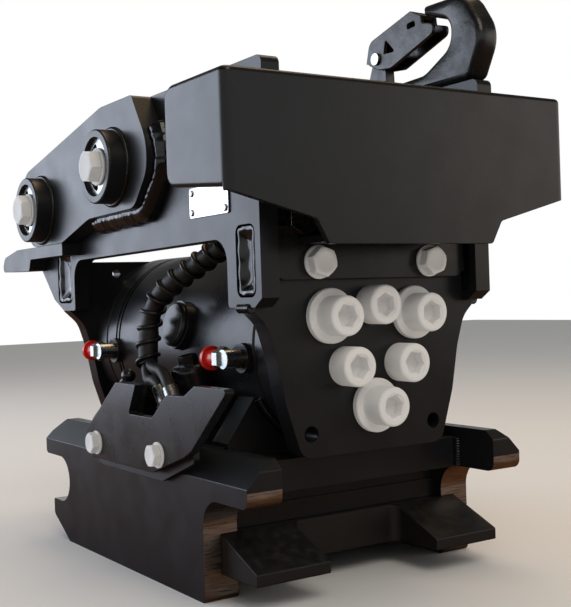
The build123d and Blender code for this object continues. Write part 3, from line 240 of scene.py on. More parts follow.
@dataclass(frozen=True)
class SatinPaint(Finish):
    """Two-pack polyurethane sprayed over primer: a low orange peel and a soft, even sheen.

    The spray leaves waves about 3 mm apart, a little dust settles on level faces, and the
    edges are broken with a small radius.
    """

    peel: float = 3.2
    dust: str = "3b3833"

    def surface(self, tree: bpy.types.NodeTree, shader: bpy.types.Node) -> None:
        """Add orange peel, patchy sheen, settled dust and rounded edges."""
        colour, rough = self.film(tree)
        tree.links.new(colour, shader.inputs["Base Color"])
        tree.links.new(rough, shader.inputs["Roughness"])
        tree.links.new(self.peeled(tree), shader.inputs["Normal"])

    def film(self, tree: bpy.types.NodeTree) -> tuple[bpy.types.NodeSocket, bpy.types.NodeSocket]:
        """Return the colour and the roughness of the paint film."""
        up = add(tree, "ShaderNodeSeparateXYZ", {0: add(tree, "ShaderNodeNewGeometry").outputs["Normal"]}).outputs[2]
        level = self.ramp(tree, up, (0.75, 1.0, 0.0, 1.0))
        settled = self.ramp(tree, self.noise(tree, 9.0, 5.0), (0.42, 0.72, 0.0, 0.55))
        cloudy = self.ramp(tree, self.noise(tree, 60.0, 3.0), (0.3, 0.7, 0.0, 0.25))
        dusty = self.sum(tree, "MULTIPLY", level, settled)
        base = self.blend(tree, cloudy, linear(self.colour), linear(self.dust))
        base = self.blend(tree, self.sum(tree, "MULTIPLY", cloudy, 0.2), linear(self.colour), base)
        colour = self.blend(tree, dusty, base, linear(self.dust))
        spread = (0.3, 0.7, self.roughness - 0.035, self.roughness + 0.05)
        rough = self.ramp(tree, self.noise(tree, 35.0, 4.0), spread)
        rough = self.sum(tree, "ADD", rough, self.sum(tree, "MULTIPLY", dusty, 0.18))
        return colour, rough

    def peeled(self, tree: bpy.types.NodeTree) -> bpy.types.NodeSocket:
        """Return the normal with orange peel."""
        return self.relief(tree, self.noise(tree, self.peel, 1.0), 0.05, 0.35)


@dataclass(frozen=True)
class SeatedPaint(SatinPaint):
    """Satin paint with the pin seats left as milled steel, at the front jaw and the rear seat.

    The cutter leaves fine lines across the plate; hands and pins have oiled and warmed the steel.
    """

    steel: str = "b9b0a6"
    jaw: Point = (-52.0, -115.0, 0.0)
    seat: Point = (-390.0, -154.5, 26.6)

    def surface(self, tree: bpy.types.NodeTree, shader: bpy.types.Node) -> None:
        """Paint the block and leave its seats bare."""
        colour, rough = self.film(tree)
        mask = self.bare(tree)
        lines = self.noise(tree, 1.1, 2.0, (1.0, 0.05, 1.0))
        milled = self.blend(tree, self.ramp(tree, lines, (0.3, 0.7, 0.0, 1.0)), linear("9c928a"), linear(self.steel))
        colour = self.blend(tree, mask, colour, milled)
        rough_bare = self.ramp(tree, lines, (0.3, 0.7, 0.24, 0.38))
        rough = add(tree, "ShaderNodeMix", {0: mask, 2: rough, 3: rough_bare}).outputs[0]
        tree.links.new(colour, shader.inputs["Base Color"])
        tree.links.new(rough, shader.inputs["Roughness"])
        tree.links.new(mask, shader.inputs["Metallic"])
        tree.links.new(self.peeled(tree), shader.inputs["Normal"])

    def bare(self, tree: bpy.types.NodeTree) -> bpy.types.NodeSocket:
        """Return 1 where the steel is bare: inside the jaw and the rear seat, not on the side faces."""
        split = add(tree, "ShaderNodeSeparateXYZ", {0: add(tree, "ShaderNodeTexCoord").outputs["Object"]}).outputs
        shift = Bench.shift
        jaw_x = self.sum(tree, "GREATER_THAN", split[0], (self.jaw[0] + shift) * MM)
        jaw_z = self.sum(tree, "LESS_THAN", split[2], (self.jaw[1] + AXIS_HEIGHT) * MM)
        seat_x = self.sum(tree, "SUBTRACT", split[0], (self.seat[0] + shift) * MM)
        seat_z = self.sum(tree, "SUBTRACT", split[2], (self.seat[1] + AXIS_HEIGHT) * MM)
        reach = self.sum(tree, "MINIMUM", seat_x, 0.0)
        reach = self.sum(tree, "MULTIPLY", reach, 0.25)
        front = self.sum(tree, "MAXIMUM", seat_x, 0.0)
        flat = self.sum(tree, "ADD", reach, front)
        far = self.sum(tree, "SQRT", self.sum(tree, "ADD", self.sum(tree, "POWER", self.sum(tree, "ABSOLUTE", flat), 2.0), self.sum(tree, "POWER", self.sum(tree, "ABSOLUTE", seat_z), 2.0)))
        round_seat = self.sum(tree, "LESS_THAN", far, self.seat[2] * MM)
        zone = self.sum(tree, "MAXIMUM", self.sum(tree, "MULTIPLY", jaw_x, jaw_z), round_seat)
        across = add(tree, "ShaderNodeSeparateXYZ", {0: add(tree, "ShaderNodeNewGeometry").outputs["True Normal"]}).outputs[1]
        inside = self.sum(tree, "LESS_THAN", self.sum(tree, "ABSOLUTE", across), 0.5)
        return self.sum(tree, "MULTIPLY", zone, inside)


@dataclass(frozen=True)
class ZincPlate(Finish):
    """Bright zinc plated and clear passivated steel: cool grey with pale yellow and blue patches."""

    warm: str = "c9c09a"

    def surface(self, tree: bpy.types.NodeTree, shader: bpy.types.Node) -> None:
        """Add passivation tints, a mottled sheen and fine pits."""
        tint = self.ramp(tree, self.noise(tree, 14.0, 3.0), (0.45, 0.7, 0.0, 0.6))
        colour = self.blend(tree, tint, linear(self.colour), linear(self.warm))
        tree.links.new(colour, shader.inputs["Base Color"])
        fine = self.noise(tree, 2.2, 4.0)
        tree.links.new(self.ramp(tree, fine, (0.3, 0.7, self.roughness - 0.07, self.roughness + 0.1)), shader.inputs["Roughness"])
        tree.links.new(self.relief(tree, fine, 0.03, 0.3), shader.inputs["Normal"])


@dataclass(frozen=True)
class TurnedSteel(Finish):
    """Bare steel with fine tool lines along one direction, oiled."""

    stretch: Point = (0.05, 1.0, 1.0)

    def surface(self, tree: bpy.types.NodeTree, shader: bpy.types.Node) -> None:
        """Add tool lines and oily patches."""
        lines = self.noise(tree, 0.9, 2.0, self.stretch)
        cloudy = self.ramp(tree, self.noise(tree, 30.0, 3.0), (0.35, 0.7, 0.0, 0.4))
        tree.links.new(self.blend(tree, cloudy, linear(self.colour), linear("6e655b")), shader.inputs["Base Color"])
        tree.links.new(self.ramp(tree, lines, (0.3, 0.7, self.roughness - 0.06, self.roughness + 0.08)), shader.inputs["Roughness"])
        tree.links.new(self.relief(tree, lines, 0.02, 0.4), shader.inputs["Normal"])


@dataclass(frozen=True)
class Forging(Finish):
    """Drop-forged steel under thick black paint: scale pits show as a soft, uneven relief."""

    def surface(self, tree: bpy.types.NodeTree, shader: bpy.types.Node) -> None:
        """Add scale pits and an uneven gloss."""
        pits = self.noise(tree, 4.5, 4.0)
        tree.links.new(self.relief(tree, pits, 0.35, 0.45), shader.inputs["Normal"])
        tree.links.new(self.ramp(tree, self.noise(tree, 12.0, 3.0), (0.3, 0.7, self.roughness - 0.06, self.roughness + 0.1)), shader.inputs["Roughness"])


@dataclass(frozen=True)
class HoseCover(Finish):
    """Rubber hose cover with the print of the cloth it was cured in, about 1 mm apart."""

    def surface(self, tree: bpy.types.NodeTree, shader: bpy.types.Node) -> None:
        """Add the cloth print and dusty patches."""
        cloth = self.noise(tree, 1.0, 1.0)
        tree.links.new(self.relief(tree, cloth, 0.08, 0.5), shader.inputs["Normal"])
        dusty = self.ramp(tree, self.noise(tree, 16.0, 4.0), (0.45, 0.75, 0.0, 0.5))
        tree.links.new(self.blend(tree, dusty, linear(self.colour), linear("34322f")), shader.inputs["Base Color"])


SATIN = SatinPaint("black satin polyurethane paint", "17181a", 0.3, specular=0.36)
SHEET = SatinPaint("black satin paint on folded sheet", "161617", 0.27, specular=0.36, edge=0.9)
BLOCKS = SeatedPaint("black satin paint with milled seats", "17181a", 0.33, specular=0.36, edge=1.0)
GLOSSY = SatinPaint("thick glossy black paint over weld", "0c0d0f", 0.1, specular=0.5, slot="black_gloss", peel=6.0)
WEDGE = SatinPaint("black phosphated steel wedge", "1a1918", 0.38, specular=0.4, edge=1.2)
FORGED = Forging("black painted drop forging", "131416", 0.26, specular=0.5, slot="forged_black")
ZINC = ZincPlate("zinc plated steel", "aab1b4", 0.26, metallic=1.0, edge=0.5, slot="zinc_plated")
GROUND = TurnedSteel("ground pin steel", "a8a9aa", 0.2, metallic=1.0, slot="pin_steel")
TURNED = TurnedSteel("turned and milled steel", "9a968f", 0.3, metallic=1.0, slot="machined_steel")
CHROME = TurnedSteel("hard chromed rod", "c6c9cc", 0.1, metallic=1.0, slot="hard_chrome")
BRONZE = TurnedSteel("turned tin bronze", "a8783f", 0.3, metallic=1.0, slot="bronze")
RUBBER = HoseCover("black rubber hose cover", "121213", 0.55, slot="hose_rubber")
WRAP = HoseCover("black polyamide spiral wrap", "0f1011", 0.34, slot="hose_rubber")
# Black sheet behind the guard plate: it reaches past the plate only to the left and below, and shows there as a dark
# band.
GUARD_BACKING = HoseCover("black sheet behind the guard plate", "101011", 0.5, slot="packing_rubber")
RED = Finish("red moulded polyethylene", "d3231c", 0.3, slot="red_plastic")
ALUMINIUM = TurnedSteel("bare rolled aluminium", "dfe1e3", 0.3, metallic=1.0, slot="bare_plate")


class Bench:
    """The loaded frame and the work that every sub-assembly shares."""

    shift: float = 0.0

    def __init__(self) -> None:
        """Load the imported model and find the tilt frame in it."""
        self.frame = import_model()
        self.cad_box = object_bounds()
        Bench.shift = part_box("front_end_plate")[1].x / MM
        self.count = 0

    @staticmethod
    def at(x: float, y: float, z: float) -> Vector:
        """Return a place of the tilt frame, in row metres."""
        return Vector(((x + Bench.shift) * MM, y * MM, (z + AXIS_HEIGHT) * MM))

    def dress(self, finish: Finish, *nodes: str) -> None:
        """Give CAD nodes a finish.

        Args:
            finish: The finish.
            nodes: Names of CAD nodes.
        """
        for name in nodes:
            data = self.frame["nodes"][name].data
            data.materials.clear()
            data.materials.append(finish.make())
            LOG.info("dressed %s in %s", name, finish.name)

    def keep(self, name: str, data: bpy.types.Mesh, finish: Finish, body: Body, *stands_for: str) -> bpy.types.Object:
        """Make a finished mesh ride on a body.

        Args:
            name: Name of the piece.
            data: Its mesh, in row metres.
            finish: Its finish, used when the mesh has no material yet.
            body: Body that carries it.
            stands_for: CAD nodes that it replaces.

        Returns:
            The new object.
        """
        if not data.materials:
            data.materials.append(finish.make())
        piece = bpy.data.objects.new(name, data)
        bpy.context.scene.collection.objects.link(piece)
        if stands_for:
            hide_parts(*stands_for)
        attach(piece, body.value)
        LOG.info("made %s, %d faces", name, len(data.polygons))
        return piece


def mesh_of(name: str, points: Sequence[Vector], faces: Sequence[Sequence[int]], smooth: float = 40.0) -> bpy.types.Mesh:
    """Make a mesh with outward faces and smooth shading below an angle.

    Args:
        name: Mesh name.
        points: Vertices in metres.
        faces: Vertex indices of each face.
        smooth: Angle in degrees above which an edge stays sharp.

    Returns:
        The mesh.
    """
    data = bpy.data.meshes.new(name)
    data.from_pydata([tuple(p) for p in points], [], [tuple(f) for f in faces])
    work = bmesh.new()
    work.from_mesh(data)
    bmesh.ops.remove_doubles(work, verts=work.verts, dist=1e-6)
    bmesh.ops.recalc_face_normals(work, faces=work.faces)
    work.to_mesh(data)
    work.free()
    for polygon in data.polygons:
        polygon.use_smooth = True
    data.set_sharp_from_angle(angle=math.radians(smooth))
    return data


Corner = tuple[float, float, float]
Flat = tuple[float, float]


def filleted(corners: Sequence[Corner], closed: bool = False, step: float = 12.0) -> list[Flat]:
    """Return a polyline with rounded corners.

    Args:
        corners: X, Z and corner radius of each corner, in millimetres.
        closed: True for an outline.
        step: Degrees between two points of an arc.

    Returns:
        Points of the rounded line.
    """
    count = len(corners)
    line: list[Flat] = []
    for i, (x, z, radius) in enumerate(corners):
        if radius <= 0 or (not closed and i in (0, count - 1)):
            line.append((x, z))
            continue
        here = Vector((x, z))
        back = Vector(corners[i - 1][:2]) - here
        ahead = Vector(corners[(i + 1) % count][:2]) - here
        half = back.angle(ahead) / 2
        reach = min(radius / math.tan(half), 0.49 * back.length, 0.49 * ahead.length)
        middle = here + (back.normalized() + ahead.normalized()).normalized() * reach / math.cos(half)
        start, end = here + back.normalized() * reach - middle, here + ahead.normalized() * reach - middle
        sweep = start.angle_signed(end)
        pieces = max(2, round(abs(math.degrees(sweep)) / step))
        for j in range(pieces + 1):
            turn = -sweep * j / pieces
            spot = Matrix.Rotation(turn, 2) @ start + middle
            line.append((spot.x, spot.y))
    return line


def beside(line: Sequence[Flat], gap: float, closed: bool = False) -> list[Flat]:
    """Return a line moved to its left by a gap in millimetres."""
    moved = []
    count = len(line)
    for i, (x, z) in enumerate(line):
        before = line[i - 1] if closed or i else line[0]
        after = line[(i + 1) % count] if closed or i < count - 1 else line[-1]
        way = Vector((after[0] - before[0], after[1] - before[1]))
        way = way.normalized() if way.length > 1e-6 else Vector((1, 0))
        moved.append((x - way.y * gap, z + way.x * gap))
    return moved


def slab(name: str, rim: Sequence[Flat], levels: Sequence[Flat], holes: Sequence[Sequence[Flat]] = ()) -> bpy.types.Mesh:
    """Make a plate that stands along Y, with its edges shaped by levels.

    Args:
        name: Mesh name.
        rim: Outline in X and Z, anticlockwise.
        levels: Y and inset of each ring of the edge.
        holes: Outlines of openings, which keep their size through the plate.

    Returns:
        The mesh.
    """
    points, faces = [], []
    loops = [rim, *holes]
    for loop_index, loop in enumerate(loops):
        base, count = len(points), len(loop)
        for y, inset in levels:
            ring = beside(loop, 0.0 if loop_index else inset, closed=True)
            points += [Bench.at(x, y, z) for x, z in ring]
        for level in range(len(levels) - 1):
            for i in range(count):
                k = (i + 1) % count
                a, b = base + level * count, base + (level + 1) * count
                faces.append((a + i, a + k, b + k, b + i))
    for level in (0, len(levels) - 1):
        flats, indices = [], []
        base = 0
        for loop in loops:
            count = len(loop)
            first = base + level * count
            flats.append([Vector((points[first + i].x, points[first + i].z, 0.0)) for i in range(count)])
            indices += [first + i for i in range(count)]
            base += count * len(levels)
        faces += [tuple(indices[i] for i in face) for face in tessellate_polygon(flats)]
    return mesh_of(name, points, faces, 35.0)


def hexagon(turn: float, flats: float) -> float:
    """Return the radius of a hexagon with the given width across flats at an angle."""
    step = math.radians(60)
    return flats / 2 / math.cos((turn % step) - step / 2)


@dataclass(frozen=True)
class Ring:
    """One ring of a turned or six-sided form: a radius or a width across flats, at a height."""

    size: float
    height: float
    six: bool = False
    limit: float = 1e9

    def reach(self, turn: float) -> float:
        """Return the radius at an angle."""
        return min(hexagon(turn, self.size) if self.six else self.size, self.limit)


def turned(name: str, rings: Sequence[Ring], segments: int = 48) -> bpy.types.Mesh:
    """Make a closed form from rings round Z, in metres, with its ends closed.

    Args:
        name: Mesh name.
        rings: Rings from the first end to the last.
        segments: Points round each ring.

    Returns:
        The mesh.
    """
    points, faces = [], []
    for ring in rings:
        for i in range(segments):
            turn = 2 * math.pi * i / segments
            r = ring.reach(turn)
            points.append(Vector((r * math.cos(turn), r * math.sin(turn), ring.height)) * MM)
    for j in range(len(rings) - 1):
        for i in range(segments):
            k = (i + 1) % segments
            faces.append((j * segments + i, j * segments + k, (j + 1) * segments + k, (j + 1) * segments + i))
    faces.append(tuple(reversed(range(segments))))
    last = (len(rings) - 1) * segments
    faces.append(tuple(range(last, last + segments)))
    return mesh_of(name, points, faces, 32.0)


@dataclass
class GeometryTree:
    """A geometry node tree with named inputs, used once and applied."""

    name: str
    sizes: dict[str, float] = field(default_factory=dict)

    def __post_init__(self) -> None:
        """Make the tree and its sockets."""
        self.tree = bpy.data.node_groups.new(self.name, "GeometryNodeTree")
        face = self.tree.interface
        face.new_socket("Geometry", in_out="INPUT", socket_type="NodeSocketGeometry")
        face.new_socket("Geometry", in_out="OUTPUT", socket_type="NodeSocketGeometry")
        for size in self.sizes:
            face.new_socket(size, in_out="INPUT", socket_type="NodeSocketFloat")
        self.source = add(self.tree, "NodeGroupInput").outputs
        self.sink = add(self.tree, "NodeGroupOutput")

    def finish(self, shape: bpy.types.NodeSocket, material: bpy.types.Material) -> None:
        """Realise the instances, set the material and end the tree."""
        real = add(self.tree, "GeometryNodeRealizeInstances", {0: shape}).outputs[0]
        painted = add(self.tree, "GeometryNodeSetMaterial", {"Geometry": real, "Material": material}).outputs[0]
        self.tree.links.new(painted, self.sink.inputs[0])

    def apply(self, carrier: bpy.types.Object, name: str) -> bpy.types.Mesh:
        """Run the tree on an object and return the plain mesh it makes.

        Args:
            carrier: Object that holds the points or the path; it is removed.
            name: Name of the new mesh.

        Returns:
            The mesh.
        """
        modifier = carrier.modifiers.new(self.name, "NODES")
        modifier.node_group = self.tree
        for item in self.tree.interface.items_tree:
            if item.in_out == "INPUT" and item.name in self.sizes:
                modifier[item.identifier] = self.sizes[item.name]
        graph = bpy.context.evaluated_depsgraph_get()
        data = bpy.data.meshes.new_from_object(carrier.evaluated_get(graph), depsgraph=graph)
        data.name = name
        carrier.modifiers.clear()
        bpy.data.objects.remove(carrier)
        return data


@dataclass
class Scatter:
    """The same small piece at several seats, each with a direction and a turn about it.

    Attributes:
        name: Name of the set.
        piece: Mesh drawn along +Z with its seat at the origin.
        finish: Finish of the set.
    """

    name: str
    piece: bpy.types.Mesh
    finish: Finish

    def lay(self, seats: Sequence[tuple[Vector, Vector, float]]) -> bpy.types.Mesh:
        """Return one mesh with the piece at each seat.

        Args:
            seats: Place in metres, direction and turn in degrees of each copy.
        """
        data = bpy.data.meshes.new(self.name + " seats")
        data.from_pydata([tuple(s[0]) for s in seats], [], [])
        facing = data.attributes.new("facing", "FLOAT_VECTOR", "POINT")
        facing.data.foreach_set("vector", [v for s in seats for v in s[1]])
        spin = data.attributes.new("spin", "FLOAT", "POINT")
        spin.data.foreach_set("value", [math.radians(s[2]) for s in seats])
        carrier = bpy.data.objects.new(self.name + " carrier", data)
        bpy.context.scene.collection.objects.link(carrier)
        model = bpy.data.objects.new(self.name + " model", self.piece)
        form = GeometryTree(self.name + " scatter", {"Scale": 1.0})
        tree = form.tree
        way = add(tree, "GeometryNodeInputNamedAttribute", {"Name": "facing"}, data_type="FLOAT_VECTOR").outputs[0]
        turn = add(tree, "GeometryNodeInputNamedAttribute", {"Name": "spin"}, data_type="FLOAT").outputs[0]
        aim = add(tree, "FunctionNodeAlignRotationToVector", {"Vector": way}, axis="Z").outputs[0]
        twist = add(tree, "FunctionNodeAxisAngleToRotation", {"Axis": (0, 0, 1), "Angle": turn}).outputs[0]
        aim = add(tree, "FunctionNodeRotateRotation", {"Rotation": aim, "Rotate By": twist}, rotation_space="LOCAL").outputs[0]
        shape = add(tree, "GeometryNodeObjectInfo", {"Object": model}).outputs["Geometry"]
        points = add(tree, "GeometryNodeMeshToPoints", {"Mesh": form.source[0]}).outputs[0]
        size = add(tree, "ShaderNodeCombineXYZ", {0: form.source[1], 1: form.source[1], 2: form.source[1]}).outputs[0]
        feeds = {"Points": points, "Instance": shape, "Rotation": aim, "Scale": size}
        placed = add(tree, "GeometryNodeInstanceOnPoints", feeds).outputs[0]
        form.finish(placed, self.finish.make())
        result = form.apply(carrier, self.name)
        bpy.data.objects.remove(model)
        return result


def path_object(name: str, points: Sequence[Vector], order: int = 3, closed: bool = False) -> bpy.types.Object:
    """Make a smooth open or closed curve through control points.

    Args:
        name: Curve name.
        points: Control points in metres.
        order: NURBS order.
        closed: True for a loop.

    Returns:
        The curve object, linked to the scene.
    """
    data = bpy.data.curves.new(name, "CURVE")
    data.dimensions = "3D"
    spline = data.splines.new("NURBS")
    spline.points.add(len(points) - 1)
    for point, place in zip(spline.points, points):
        point.co = (*place, 1.0)
    spline.order_u = order
    spline.use_cyclic_u = closed
    spline.use_endpoint_u = not closed
    spline.resolution_u = 16
    carrier = bpy.data.objects.new(name, data)
    bpy.context.scene.collection.objects.link(carrier)
    return carrier


@dataclass
class Bead:
    """A weld run: a rippled, slightly uneven bead along a path.

    Attributes:
        radius: Bead radius in millimetres.
        pitch: Distance between ripples in millimetres.
        depth: Ripple height as a share of the radius.
    """

    radius: float = 4.0
    pitch: float = 2.6
    depth: float = 0.07

    def run(self, name: str, points: Sequence[Vector], finish: Finish, order: int = 2) -> bpy.types.Mesh:
        """Return the bead's mesh along control points."""
        sizes = {"Radius": self.radius * MM, "Pitch": self.pitch * MM, "Depth": self.depth}
        form = GeometryTree(name + " bead", sizes)
        tree = form.tree
        path = add(tree, "GeometryNodeResampleCurve", {"Curve": form.source[0], "Length": self.pitch * MM / 4}, mode="LENGTH").outputs[0]
        along = add(tree, "GeometryNodeSplineParameter").outputs["Length"]
        phase = add(tree, "ShaderNodeMath", {0: along, 1: form.source["Pitch"]}, operation="DIVIDE").outputs[0]
        phase = add(tree, "ShaderNodeMath", {0: phase, 1: 2 * math.pi}, operation="MULTIPLY").outputs[0]
        wave = add(tree, "ShaderNodeMath", {0: phase}, operation="SINE").outputs[0]
        wave = add(tree, "ShaderNodeMath", {0: wave, 1: form.source["Depth"]}, operation="MULTIPLY").outputs[0]
        drift = add(tree, "ShaderNodeTexNoise", {"Scale": 60.0, "Detail": 2.0}).outputs[0]
        drift = add(tree, "ShaderNodeMapRange", {"Value": drift, "To Min": 0.8, "To Max": 1.2}).outputs[0]
        grow = add(tree, "ShaderNodeMath", {0: wave, 1: drift}, operation="ADD").outputs[0]
        ring = add(tree, "GeometryNodeCurvePrimitiveCircle", {"Resolution": 14, "Radius": form.source["Radius"]}).outputs[0]
        tube = add(tree, "GeometryNodeCurveToMesh", {"Curve": path, "Profile Curve": ring, "Scale": grow, "Fill Caps": True}).outputs[0]
        smooth = add(tree, "GeometryNodeSetShadeSmooth", {0: tube}).outputs[0]
        form.finish(smooth, finish.make())
        return form.apply(path_object(name + " path", points, order), name)


def join(name: str, meshes: Iterable[bpy.types.Mesh]) -> bpy.types.Mesh:
    """Join meshes that share one material into one mesh."""
    work = bmesh.new()
    parts = list(meshes)
    for part in parts:
        work.from_mesh(part)
    data = bpy.data.meshes.new(name)
    work.to_mesh(data)
    work.free()
    if parts and parts[0].materials:
        data.materials.append(parts[0].materials[0])
    return data


def mirrored(points: Sequence[Point], side: Side) -> list[Vector]:
    """Return places given for the right side on either side, in metres."""
    return [Bench.at(x, y if side is Side.RIGHT else -y, z) for x, y, z in points]


@dataclass
class Screws:
    """Shapes of the plated screws, drawn along +Z with the seat at the origin."""

    def socket(self, name: str, thread: float, head: float) -> bpy.types.Mesh:
        """Return a socket head cap screw with a rounded rim and a deep hexagon."""
        r, h = head / 2, thread
        key = thread * 0.8
        rings = [
            Ring(r, 0.0), Ring(r, h - 2.6), Ring(r - 0.35, h - 1.3), Ring(r - 1.2, h - 0.35),
            Ring(r - 2.4, h), Ring(key * 0.64, h), Ring(key * 0.585, h - 0.9),
            Ring(key, h - 1.6, six=True), Ring(key, h - thread * 0.5, six=True), Ring(0.6, h - thread * 0.62),
        ]
        return turned(name, rings, 72)

    def hexagon(self, name: str, flats: float, head: float) -> bpy.types.Mesh:
        """Return a hexagon head with a washer face and a chamfered crown with a shallow dish."""
        across = flats / 2
        rings = [
            Ring(across * 0.95, 0.0), Ring(across * 0.95, 0.5), Ring(flats, 0.6, six=True),
            Ring(flats, head - flats * 0.06, six=True, limit=flats * 0.57),
            Ring(flats, head - flats * 0.02, six=True, limit=flats * 0.515),
            Ring(across * 0.93, head), Ring(across * 0.72, head), Ring(across * 0.62, head - 0.5),
            Ring(0.5, head - 0.6),
        ]
        return turned(name, rings, 72)

    def washer(self, name: str, outer: float, thickness: float) -> bpy.types.Mesh:
        """Return a washer with broken edges, closed in the middle under its screw."""
        r, b = outer / 2, min(1.0, thickness * 0.22)
        rings = [Ring(r - b, 0.0), Ring(r, b), Ring(r, thickness - b), Ring(r - b, thickness), Ring(0.5, thickness)]
        return turned(name, rings, 64)


@dataclass
class UpperFrame:
    """Side plates, doublers, end plates and their welds."""

    doubler: tuple[Corner, ...] = (
        (-176.0, 250.0, 0.0), (-146.0, 202.0, 50.0), (-146.0, 173.0, 30.0), (-178.0, 139.0, 24.0),
        (-292.0, 137.0, 60.0), (-372.0, 116.0, 0.0),
    )
    weld_top: float = 228.0
    weld_rear: float = -360.0
    slot_z: tuple[float, float] = (47.0, 110.0)
    front_slot: tuple[float, float] = (-20.0, 12.0)
    rear_slot: tuple[float, float] = (-444.0, -400.0)

    def build(self, bench: Bench) -> None:
        """Dress the plates and lay the welds."""
        bench.dress(
            SATIN, "side_plate_left", "side_plate_right", "ear_plate_left", "ear_plate_right", "pin_collars",
            "front_end_plate", "rear_end_plate", "top_cross_plate", "link_stop_bars", "cover_hangers",
        )
        self.doubler_welds(bench)
        self.plug_welds(bench)
        self.corner_welds(bench)

    def doubler_welds(self, bench: Bench) -> None:
        """Lay the heavy rounded run along the front and lower edge of each doubler."""
        edge = filleted(self.doubler)
        line = [(x, z) for x, z in beside(edge, 1.5) if z < self.weld_top and x > self.weld_rear]
        bead = Bead(radius=13.0, pitch=8.0, depth=0.02)
        path = [(x, -134.0, z) for x, z in line]
        runs = [bead.run("doubler weld", mirrored(path, side), GLOSSY, 3) for side in Side]
        bench.keep("doubler_welds", join("doubler_welds", runs), GLOSSY, Body.UPPER, "ear_welds")

    def plug_welds(self, bench: Bench) -> None:
        """Fill each slot with a glossy, uneven weld face."""
        meshes = []
        for x0, x1 in (self.front_slot, self.rear_slot):
            for side in Side:
                meshes.append(self.plug((x0, x1), side))
        bench.keep("slot_welds", join("slot_welds", meshes), GLOSSY, Body.UPPER, "plug_welds")

    def plug(self, span: tuple[float, float], side: Side) -> bpy.types.Mesh:
        """Return one slot's weld face: a grid that stands proud along its rim and dips inside."""
        columns, rows = 26, 44
        z0, z1 = self.slot_z
        points, faces = [], []
        for j in range(rows + 1):
            for i in range(columns + 1):
                u, v = i / columns, j / rows
                edge = min(u, 1 - u) * (span[1] - span[0])
                end = min(v, 1 - v) * (z1 - z0)
                rim = min(edge, end)
                proud = 1.5 * math.exp(-(((rim - 5.0) / 3.2) ** 2)) - 5.5 * (1 - math.exp(-((rim / 11.0) ** 2)))
                proud += 0.45 * math.sin(v * (z1 - z0) / 3.1 + 2.2 * math.sin(u * 7)) * math.exp(-rim / 9)
                corner = math.hypot(max(0.0, 7 - edge), max(0.0, 7 - end))
                proud -= max(0.0, corner - 5.5) * 2.2 + (4.0 if rim < 0.01 else 0.0)
                y = -131.0 + 1.2 - proud
                x = span[0] + 0.2 + u * (span[1] - span[0] - 0.4)
                points.append(Bench.at(x, y * -side.value, z0 + 0.2 + v * (z1 - z0 - 0.4)))
        for j in range(rows):
            for i in range(columns):
                a = j * (columns + 1) + i
                faces.append((a, a + 1, a + columns + 2, a + columns + 1))
        back = len(points)
        inner = (-114.0) * -side.value
        for x, z in ((span[0], z0), (span[1], z0), (span[1], z1), (span[0], z1)):
            points.append(Bench.at(x, inner, z))
        faces.append((back, back + 1, back + 2, back + 3))
        data = mesh_of("slot weld", points, faces, 60.0)
        data.materials.append(GLOSSY.make())
        return data

    def corner_welds(self, bench: Bench) -> None:
        """Lay the ordinary fillet runs between plates."""
        bead = Bead(radius=4.2)
        runs = []
        for side in Side:
            runs.append(bead.run("end plate run", mirrored([(1, -113, 134), (1, -113, 66)], side), GLOSSY))
            runs.append(bead.run("end plate back run", mirrored([(-21, -113, 134), (-21, -113, 42)], side), GLOSSY))
            runs.append(bead.run("rear plate run", mirrored([(-409, -113, 93), (-409, -113, 42)], side), GLOSSY))
            runs.append(bead.run("rear plate back run", mirrored([(-431, -113, 93), (-431, -113, 42)], side), GLOSSY))
            runs.append(bead.run("cross plate run", mirrored([(-90, -113, 215), (10, -113, 215)], side), GLOSSY))
            runs.append(bead.run("cross plate top run", mirrored([(-90, -113, 233), (10, -113, 233)], side), GLOSSY))
            runs.append(bead.run("shoulder run", mirrored([(-20, -129, 37.5), (0, -129, 37.5)], side), GLOSSY))
            for x, z in ((-226.0, 184.5), (-432.0, 158.0)):
                ring = [(x + 38.5 * math.cos(a), -153.4, z + 38.5 * math.sin(a)) for a in [math.tau * i / 40 for i in range(41)]]
                runs.append(Bead(radius=2.6, pitch=2.4).run("collar run", mirrored(ring, side), GLOSSY))
        bench.keep("frame_weld_runs", join("frame_weld_runs", runs), GLOSSY, Body.UPPER)


@dataclass
class FrontGuard:
    """Folded cover with its bracket, screws and bare data plate."""

    screw_y: float = 63.9
    screw_z: float = 76.3

    def build(self, bench: Bench) -> None:
        """Dress the sheet metal and seat its screws."""
        bench.dress(SHEET, "front_cover", "cover_bracket")
        bench.dress(ALUMINIUM, "data_plate", "data_plate_rivets")
        bench.dress(ZINC, "hose_bulkhead")
        shapes = Screws()
        seats = [(Bench.at(11.0, y, self.screw_z), Vector((1, 0, 0)), t) for y, t in ((-self.screw_y, 12.0), (self.screw_y, 47.0))]
        heads = Scatter("bracket screw heads", shapes.hexagon("bracket screw", 24.0, 10.0), ZINC).lay(seats)
        under = [(Bench.at(8.05, s[0].y / MM, self.screw_z), s[1], 0.0) for s in seats]
        rings = Scatter("bracket washers", shapes.washer("bracket washer", 30.0, 3.0), ZINC).lay(under)
        bench.keep("bracket_screws", join("bracket_screws", [heads, rings]), ZINC, Body.UPPER, "cover_screws")


